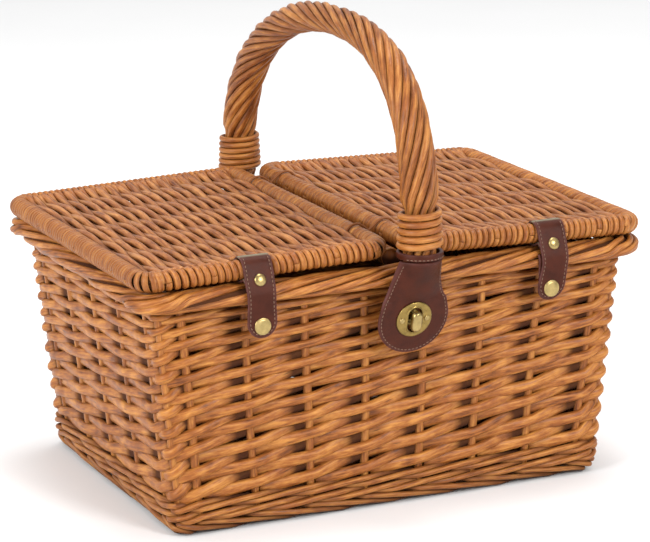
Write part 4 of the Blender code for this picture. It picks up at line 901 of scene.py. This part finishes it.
def strap_line(hang_z):
    """The strap's middle line (y, z) about its bar, from the end inside the fold, round the bar, to its foot."""
    knee = np.array([-STRAP_HANG - STRAP_THICK / 2.0, STRAP_KNEE_Z - hang_z])
    angle = (math.atan2(knee[1], knee[0]) - math.acos(STRAP_RING / np.hypot(*knee))) % FULL
    out = np.array([math.cos(angle), math.sin(angle)])
    top = STRAP_RING * out
    down = (knee - top) / np.hypot(*(knee - top))
    middle = STRAP_RING - STRAP_THICK / 2.0
    inner = (STRAP_RING - 1.5 * STRAP_THICK) * out
    low = math.radians(256.0)
    leave = middle * np.array([math.cos(low), math.sin(low)])
    points = [inner + run * down for run in (0.0118, 0.0104)]
    first, last = points[-1], leave
    pull = [first - 0.0026 * down, last + 0.0040 * np.array([math.sin(low), -math.cos(low)])]
    for share in np.linspace(0.1, 1.0, 10):
        rest = 1.0 - share
        points.append(rest ** 3 * first + 3.0 * rest ** 2 * share * pull[0]
                      + 3.0 * rest * share ** 2 * pull[1] + share ** 3 * last)
    for turn in np.arange(low + 0.05, angle + FULL, 0.05):
        points.append(middle * np.array([math.cos(turn), math.sin(turn)]))
    points.append(middle * out)
    fold = len(points)
    points.append(knee + np.array([STRAP_THICK / 2.0, 0.0]))
    points.append(np.array([-STRAP_HANG, STRAP_BEND_Z - hang_z]))
    points.append(np.array([-STRAP_HANG, STRAP_FOOT_Z + 0.0003 - hang_z]))
    line = np.concatenate([smooth_line(points[:fold], 0.0006, 0.0012)[:-1],
                           smooth_line(points[fold - 1:], 0.0006, 0.0050)])
    return line, out, down


def strap(side, label, bar_x, hang_z):
    """A leather strap round its bar, sewn along both edges, with its rivet and snap."""
    line, out, down = strap_line(hang_z)
    height = line[:, 1] + hang_z
    fronts = across_front(line)
    centres = np.stack([side * bar_x + slant_at(side, height), line[:, 0] - 0.145, height], -1)
    over = np.arctan2(line[:, 1], line[:, 0])
    behind = (np.hypot(line[:, 0], line[:, 1]) < STRAP_RING) & (np.abs(over - math.radians(93.0)) < math.radians(10.0))
    raw = np.where(behind, 1.0, 0.0)
    raw = np.convolve(np.pad(raw, 2, mode="edge"), np.ones(5) / 5.0, mode="valid")
    round_z = STRAP_FOOT_Z + STRAP_HALF
    tail = (height < round_z) & (line[:, 0] < -0.0150)
    drop = np.where(tail, round_z - height, 0.0)
    waist = 1.0 - 0.05 * np.exp(-((height - 0.186) / 0.010) ** 2) * (line[:, 0] < -0.0100)
    halves = np.where(tail, np.sqrt(np.maximum(STRAP_HALF ** 2 - drop ** 2, 4e-8)), STRAP_HALF * waist)

    def inset_at(row, across):
        if tail[row]:
            return np.maximum(0.0, STRAP_HALF - np.hypot(across, drop[row]))
        return halves[row] - np.abs(across)

    bundle = Bundle()
    band(bundle, centres, fronts, halves, inset_at, STRAP_THICK, raw)
    bundle.build(f"{label}_strap_leather", HIDE, f"{label}_strap_body", "leather", [f"{label}_strap"])

    first = int(np.argmax((line[:, 0] < 0.0) & (line[:, 1] > 0.0090) & (np.arange(len(line)) > 40)))
    rows = np.arange(first, len(line))
    rows = rows[STRAP_HALF - STITCH_INSET > drop[rows]]
    own = STRAP_HALF - STITCH_INSET
    wide = np.where(tail[rows], np.sqrt(np.maximum(0.0, own ** 2 - drop[rows] ** 2)), halves[rows] - STITCH_INSET)
    seat = (STRAP_THICK / 2.0 - 0.0002) * fronts[rows]
    right = centres[rows] + seat + wide[:, None] * np.array([1.0, 0.0, 0.0])
    left = centres[rows] + seat - wide[:, None] * np.array([1.0, 0.0, 0.0])
    seam = Bundle()
    sew(seam, np.concatenate([left, right[::-1]]), np.concatenate([fronts[rows], fronts[rows][::-1]]))
    seam.build(f"{label}_strap_stitches", STITCH, f"{label}_strap_body", "leather")

    face = np.array([0.0, *out])
    at = np.argmin(np.abs(height - RIVET_Z) + 10.0 * (line[:, 0] > -0.0085) + 10.0 * (np.arange(len(line)) < first))
    dome(f"{label}_rivet_head", centres[at] + (STRAP_THICK / 2.0) * face, face, 0.0048, 0.0022,
         f"{label}_strap_body", BRASS, [f"{label}_strap_rivet"], crown=1.0)
    at = np.argmin(np.abs(height - SNAP_Z) + 10.0 * (line[:, 0] > -0.0150))
    dome(f"{label}_snap_button", centres[at] + (STRAP_THICK / 2.0) * fronts[at], fronts[at], 0.0068, 0.0016,
         f"{label}_strap_body", BRASS, [f"{label}_snap_cap"], crown=0.30)


def axes(front):
    """Two directions across a front: level, and up."""
    front = front / np.linalg.norm(front)
    level = np.array([1.0, 0.0, 0.0])
    up = np.cross(front, level)
    up *= np.sign(up[2])
    return level, up, front


def turned(bundle, centre, front, profile, sides=36, dents=None):
    """A turned piece of (radius, height) rows about a front, closed at its top and its foot."""
    level, up, front = axes(np.asarray(front, float))
    angles = FULL * np.arange(sides) / sides
    radius = np.array([row[0] for row in profile])[:, None]
    height = np.repeat(np.array([row[1] for row in profile])[:, None], sides, 1)
    x = radius * np.cos(angles)
    y = radius * np.sin(angles)
    if dents is not None:
        height = height - dents(x, y)
    rings = centre + x[..., None] * level + y[..., None] * up + height[..., None] * front
    if up[2] * level[0] * 1.0 > 0.0:
        rings = rings[:, ::-1]
    bundle.grid(rings, np.linspace(0.0, 1.0, len(profile)), np.linspace(0.0, 1.0, sides + 1), 0.5, 0.0)


def dome(name, centre, front, radius, height, body, material, replaces, crown):
    """A round metal head: a rolled edge, a shallow ring inside it and a crown."""
    rows = [(radius * 0.30, -0.0004), (radius * 0.97, -0.0004), (radius, 0.0001)]
    for share in np.linspace(0.15, 1.0, 6):
        angle = math.pi / 2.0 * share
        lip = height * (0.55 if crown < 0.9 else 1.0)
        inner = radius * (0.86 if crown < 0.9 else 0.0)
        rows.append((inner + (radius - inner) * math.cos(angle) + (0.0001 if crown > 0.9 else 0.0), lip * math.sin(angle)))
    if crown < 0.9:
        rows.append((radius * 0.80, height * 0.46))
        for share in np.linspace(0.25, 1.0, 5):
            rows.append((radius * 0.80 * math.cos(math.pi / 2.0 * share) + 0.0001,
                         height * (0.46 + 0.40 * math.sin(math.pi / 2.0 * share))))
    bundle = Bundle()
    turned(bundle, centre, front, rows)
    bundle.build(name, material, body, "brass", replaces)


def keeper(side, label, middle):
    """The leather keeper, from the top of the border down behind the strap's tail."""
    wide, high = BORDER_WIDE + 0.0003 + 0.00075, BORDER_HIGH + 0.0003 + 0.00075
    centre_y = TOP_Y + BORDER_INSET
    points = [(-(centre_y + wide * math.cos(a)), BORDER_Z + high * math.sin(a)) for a in np.radians(np.arange(30, -1, -5))]
    points.append((-(centre_y + wide), STRAP_BEND_Z))
    points.append((-(centre_y + wide), 0.1617))
    line = smooth_line(points, 0.0007, 0.0030)
    fronts = across_front(line)
    centres = np.stack([np.full(len(line), middle), line[:, 0], line[:, 1]], -1)
    foot = 0.1617 + 0.0100
    drop = np.maximum(0.0, foot - line[:, 1])
    halves = np.where(drop > 0.0, np.sqrt(np.maximum(0.0100 ** 2 - drop ** 2, 4e-8)), 0.0100)

    def inset_at(row, across):
        if drop[row] > 0.0:
            return np.maximum(0.0, 0.0100 - np.hypot(across, drop[row]))
        return halves[row] - np.abs(across)

    bundle = Bundle()
    band(bundle, centres, fronts, halves, inset_at, 0.0015, np.zeros(len(line)))
    bundle.build(f"{label}_keeper_leather", HIDE, "basket", "leather", [f"{label}_keeper"])


# The tab and its lock

TAB_THICK = 0.0024
TAB_NECK = 0.0180
TAB_ROUND = 0.0298
TAB_WRAP = 0.0150
LOCK_Z = 0.1583
TAB_HINGE = np.array([-0.1900, 0.2081])
TAB_KNEE = np.array([-0.16575, 0.1740])
TAB_FOOT = np.array([-0.15386, 0.1298])
TAB_UPPER = np.hypot(*(TAB_KNEE - TAB_HINGE))
TAB_DOWN = (TAB_FOOT - TAB_KNEE) / np.hypot(*(TAB_FOOT - TAB_KNEE))
LOCK_AT = np.array([HANDLE_X, *(TAB_KNEE + (0.1740 - LOCK_Z) / -TAB_DOWN[1] * TAB_DOWN)])
LOCK_FRONT = np.array([0.0, TAB_DOWN[1], -TAB_DOWN[0]])
LOCK_UP = np.array([0.0, -TAB_DOWN[0], -TAB_DOWN[1]])
SLOT_HALF = 0.0058
SLOT_LONG = 0.0105


def tab_place(run):
    """A point (y, z) down the middle of the tab: curved to its knee, then straight."""
    if run >= TAB_UPPER:
        return TAB_KNEE + (run - TAB_UPPER) * TAB_DOWN
    share = 1.0 - run / TAB_UPPER
    control = TAB_KNEE - 0.0040 * TAB_DOWN
    return (1.0 - share) ** 2 * TAB_KNEE + 2.0 * share * (1.0 - share) * control + share ** 2 * TAB_HINGE


def tab_leather():
    """The pear-shaped tab with its sewn rim and the slot for the lock, wrapped round the leg at its neck."""
    length = TAB_UPPER + np.hypot(*(TAB_FOOT - TAB_KNEE))
    centre = length - TAB_ROUND
    turn = math.atan2(centre, TAB_NECK) - math.acos(TAB_ROUND / math.hypot(TAB_NECK, centre))
    touch_run = centre - TAB_ROUND * math.sin(turn)
    touch_half = TAB_ROUND * math.cos(turn)
    runs = list(np.linspace(0.0, touch_run, 60)[:-1])
    halves = [TAB_NECK + (touch_half - TAB_NECK) * run / touch_run for run in runs]
    for angle in np.linspace(-turn, math.radians(89.0), 60):
        runs.append(centre + TAB_ROUND * math.sin(angle))
        halves.append(TAB_ROUND * math.cos(angle))
    runs, halves = np.array(runs), np.array(halves)
    line = np.array([tab_place(run) for run in runs])
    fronts = -across_front(line)
    fronts = fronts * np.sign(-fronts[:, 1])[:, None]
    centres = np.stack([np.full(len(line), HANDLE_X), line[:, 0], line[:, 1]], -1)
    slope = math.cos(math.atan2(touch_half - TAB_NECK, touch_run))

    def inset_at(row, across):
        side = (TAB_NECK + (touch_half - TAB_NECK) * runs[row] / touch_run - np.abs(across)) * slope
        if runs[row] > touch_run:
            side = TAB_ROUND - np.hypot(across, runs[row] - centre)
        return np.maximum(0.0, np.minimum(side, runs[row] + 0.0012))

    def bend(row, across):
        share = runs[row] / TAB_UPPER
        wrap = TAB_WRAP * (1.0 - share if share < 0.6 else 0.4 * (max(0.0, 1.4 - share) / 0.8) ** 2)
        return (wrap * (across / halves[row]) ** 2)[:, None] * np.array([0.0, 1.0, 0.0])

    bundle = Bundle()
    band(bundle, centres, fronts, halves, inset_at, TAB_THICK, np.zeros(len(line)), bend)
    item = bundle.build("tab_leather", HIDE, "tab", "leather", ["clasp_tab"])
    pierce(item, LOCK_AT, SLOT_HALF, SLOT_LONG, 0.004)

    seam = Bundle()
    inner = []
    for row, (run, half) in enumerate(zip(runs, halves)):
        if run > 0.0012:
            if run > touch_run:
                reach = TAB_ROUND - STITCH_INSET
                if run - centre >= reach:
                    continue
                inner.append((row, math.sqrt(reach ** 2 - (run - centre) ** 2)))
            else:
                inner.append((row, half - STITCH_INSET / slope))
    sides = {}
    for sign in (-1.0, 1.0):
        sides[sign] = [centres[row] + bend(row, np.array([sign * x]))[0] + np.array([sign * x, 0.0, 0.0])
                       + (TAB_THICK / 2.0 - 0.0002) * fronts[row] for row, x in inner]
    own = [fronts[row] for row, x in inner]
    sew(seam, np.array(sides[-1.0] + sides[1.0][::-1]), np.array(own + own[::-1]))
    seam.build("tab_stitches", STITCH, "tab", "leather")


def oval(half_width, half_length, steps):
    """An upright slot's outline with round ends, and as many points as asked."""
    straight = half_length - half_width
    angles = FULL * (np.arange(steps) + 0.5) / steps
    x = half_width * np.cos(angles)
    y = half_width * np.sin(angles)
    return x, y + np.sign(y) * straight


def pierce(item, at, half_width, half_length, depth):
    """Cuts the lock's slot through a mesh."""
    x, y = oval(half_width, half_length, 40)
    level = np.array([1.0, 0.0, 0.0])
    flat = at + x[:, None] * level + y[:, None] * LOCK_UP
    points = np.concatenate([flat - depth * LOCK_FRONT, flat + depth * LOCK_FRONT])
    count = len(x)
    faces = [list(range(count))[::-1], list(range(count, 2 * count))]
    faces += [[i, (i + 1) % count, count + (i + 1) % count, count + i] for i in range(count)]
    mesh = bpy.data.meshes.new("slot")
    mesh.from_pydata(points.tolist(), [], faces)
    work = bmesh.new()
    work.from_mesh(mesh)
    bmesh.ops.recalc_face_normals(work, faces=work.faces)
    work.to_mesh(mesh)
    work.free()
    cutter = bpy.data.objects.new("slot", mesh)
    bpy.context.scene.collection.objects.link(cutter)
    cut = item.modifiers.new("slot", "BOOLEAN")
    cut.operation = "DIFFERENCE"
    cut.solver = "EXACT"
    cut.object = cutter
    bpy.context.view_layer.update()
    deps = bpy.context.evaluated_depsgraph_get()
    done = bpy.data.meshes.new_from_object(item.evaluated_get(deps))
    item.modifiers.clear()
    item.data = done
    bpy.data.objects.remove(cutter)


def lock():
    """The slotted plate with its raised rim and screws, the base behind it and the turning button."""
    steps = 64
    angles = FULL * (np.arange(steps) + 0.5) / steps
    level = np.array([1.0, 0.0, 0.0])
    foot = TAB_THICK / 2.0 + 0.00015
    rows = []
    slot = np.stack(oval(SLOT_HALF, SLOT_LONG, steps), -1)
    rim = np.stack(oval(SLOT_HALF + 0.0011, SLOT_LONG + 0.0011, steps), -1)
    edge = 0.0150 * np.stack([np.cos(angles), np.sin(angles)], -1)
    for start, stop, share, height in (
        (slot, rim, 0.0, 0.0), (slot, rim, 0.0, 0.0015), (slot, rim, 0.12, 0.0019), (slot, rim, 0.5, 0.0020),
        (slot, rim, 0.85, 0.0017), (slot, rim, 1.0, 0.0012), (rim, edge, 0.12, 0.0012), (rim, edge, 0.45, 0.0013),
        (rim, edge, 0.75, 0.00125), (rim, edge, 0.90, 0.0011), (rim, edge, 0.97, 0.0008), (rim, edge, 1.0, 0.0004),
        (rim, edge, 1.0, 0.0), (rim, edge, 0.5, 0.0),
    ):
        flat = start * (1.0 - share) + stop * share
        rows.append(LOCK_AT + flat[:, :1] * level + flat[:, 1:] * LOCK_UP + (foot + height) * LOCK_FRONT)
    bundle = Bundle()
    count = len(rows)
    bundle.grid(np.array(rows), np.linspace(0, 1, count + 1), np.linspace(0, 1, steps + 1), 0.5, 0.0, loop=True)
    bundle.build("lock_plate", PLATE, "tab", "brass", ["clasp_plate"])
    screws = Bundle()
    for sign in (-1.0, 1.0):
        spot = LOCK_AT + sign * 0.0104 * level + 0.0003 * LOCK_UP + (foot + 0.0011) * LOCK_FRONT
        rows = [(0.0018, -0.0002), (0.0024, 0.0), (0.0024, 0.0004), (0.0021, 0.0008), (0.0016, 0.0010), (0.0008, 0.0011), (0.0001, 0.0011)]
        turned(screws, spot, LOCK_FRONT, rows, 24, lambda x, y: 0.0005 * (np.abs(x - 0.4 * y) < 0.00045) * (np.hypot(x, y) < 0.0020))
    screws.build("lock_screws", BRASS, "tab", "brass")

    base = Bundle()
    rows = [(0.0020, -0.0016), (0.0066, -0.0016), (0.0070, -0.0013), (0.0070, -0.0002), (0.0067, 0.0), (0.0040, 0.0),
            (0.0032, -0.0004), (0.0030, -0.0006)]
    turned(base, LOCK_AT - (TAB_THICK / 2.0 + 0.0001) * LOCK_FRONT, LOCK_FRONT, rows, 32)
    base.build("lock_base", PLATE, "basket", "brass", ["clasp_base"])

    knob = Bundle()
    stem_foot = -TAB_THICK / 2.0 - 0.0008
    head_foot = foot + 0.0020 + 0.0006
    rows = []
    for half, long, height in (
        (0.0023, 0.0023, stem_foot), (0.0023, 0.0023, head_foot - 0.0010), (0.0027, 0.0040, head_foot - 0.0002),
        (0.0036, 0.0080, head_foot), (0.0041, 0.0087, head_foot + 0.0004), (0.0042, 0.0088, head_foot + 0.0012),
        (0.0041, 0.0086, head_foot + 0.0026), (0.0038, 0.0081, head_foot + 0.0038), (0.0032, 0.0073, head_foot + 0.0045),
        (0.0024, 0.0062, head_foot + 0.0048), (0.0012, 0.0045, head_foot + 0.0050),
    ):
        x, y = oval(half, max(long, half + 0.00001), 48)
        rows.append(LOCK_AT + x[:, None] * level + y[:, None] * LOCK_UP + height * LOCK_FRONT)
    knob.grid(np.array(rows)[:, ::-1], np.linspace(0, 1, len(rows)), np.linspace(0, 1, 49), 0.5, 0.0)
    knob.build("lock_button", BRASS, "turn_button", "brass", ["clasp_button"])


def collar():
    """The leather collar round the handle's front foot, with a few stitches in front."""
    angles = FULL * np.arange(72) / 72
    section = FULL * np.arange(20) / 20
    across = np.sign(np.cos(section)) * np.abs(np.cos(section)) ** 0.55 * 0.0016
    rise = np.sign(np.sin(section)) * np.abs(np.sin(section)) ** 0.45 * 0.0025
    reach = 0.0150 + 0.0016 + across
    rings = np.zeros((72, 20, 3))
    rings[..., 0] = HANDLE_X + reach * np.sin(angles)[:, None]
    rings[..., 1] = -HALF_SPAN - reach * np.cos(angles)[:, None]
    rings[..., 2] = COLLAR_Z + 0.0025 + rise
    worn = np.broadcast_to(np.abs(np.sin(section)) ** 3, (72, 20))
    bundle = Bundle()
    bundle.grid(rings, np.linspace(0, 1, 73), np.linspace(0, 1, 21), 0.0, worn, loop=True)
    bundle.build("collar_leather", HIDE, "basket", "leather", ["handle_collar"])
    arc = np.radians(np.linspace(-62.0, 62.0, 40))
    outs = np.stack([np.sin(arc), -np.cos(arc), np.zeros_like(arc)], -1)
    line = np.array([HANDLE_X, -HALF_SPAN, COLLAR_Z + 0.0012]) + outs * 0.01812
    seam = Bundle()
    sew(seam, line, outs)
    seam.build("collar_stitches", STITCH, "basket", "leather")


def camera_and_light():
    """The photograph's view, a pale floor and soft light from the left and above."""
    data = bpy.data.cameras.new("view")
    data.lens = 160.6154
    data.sensor_width = 36.0
    data.clip_end = 20.0
    eye = bpy.data.objects.new("view", data)
    right = Vector((0.90697, -0.4211, -0.0092))
    up = Vector((0.11345, 0.2232, 0.96815))
    ahead = Vector((0.40563, 0.87912, -0.25021))
    matrix = Matrix((right, up, -ahead)).transposed().to_4x4()
    matrix.translation = Vector((-0.9566, -2.0831, 0.7513))
    eye.matrix_world = matrix
    bpy.context.scene.collection.objects.link(eye)
    bpy.context.scene.camera = eye

    floor, tree, shader, make = network("floor_pale")
    spot = make("ShaderNodeTexCoord").outputs["Object"]
    cloud = make("ShaderNodeTexNoise", {"Vector": spot, "Scale": 3.0}).outputs["Fac"]
    tree.links.new(ramp(make, cloud, [(0.0, (0.80, 0.80, 0.80)), (1.0, (0.84, 0.84, 0.84))]), shader.inputs["Base Color"])
    shader.inputs["Roughness"].default_value = 0.9
    mesh = bpy.data.meshes.new("floor")
    mesh.from_pydata([(-6, -6, 0), (6, -6, 0), (6, 6, 0), (-6, 6, 0)], [], [(0, 1, 2, 3)])
    mesh.materials.append(floor)
    item = bpy.data.objects.new("floor", mesh)
    bpy.context.scene.collection.objects.link(item)

    world = bpy.data.worlds.new("studio")
    bpy.context.scene.world = world
    world.use_nodes = True
    world.node_tree.nodes["Background"].inputs["Color"].default_value = (1.0, 1.0, 1.0, 1.0)
    world.node_tree.nodes["Background"].inputs["Strength"].default_value = 0.85
    for name, spot, size, power in (
        ("key", (0.7, -2.4, 1.5), 0.7, 42.0),
        ("side", (-2.3, -0.7, 1.2), 1.2, 46.0),
        ("top", (0.2, 0.3, 2.5), 1.0, 34.0),
    ):
        light = bpy.data.lights.new(name, "AREA")
        light.size = size
        light.energy = power
        lamp = bpy.data.objects.new(name, light)
        lamp.location = spot
        lamp.rotation_euler = (Vector((0.0, 0.0, 0.12)) - Vector(spot)).to_track_quat("-Z", "Y").to_euler()
        bpy.context.scene.collection.objects.link(lamp)


side_strands()
stake_rods()
wale_rods()
foot_rods()
border_rods()
lid(-1, "left", 0.1220)
lid(1, "right", 0.1288)
cross_bar()
base()
handle()
bindings()
strap(-1, "left", 0.1220, 0.209211)
strap(1, "right", 0.1288, 0.209034)
keeper(-1, "left", -0.1220)
keeper(1, "right", 0.12504)
tab_leather()
lock()
collar()
for name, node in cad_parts.items():
    if "tie" in name:
        node.data.materials.clear()
        node.data.materials.append(CANE)
camera_and_light()
bpy.context.scene.view_settings.view_transform = "Standard"
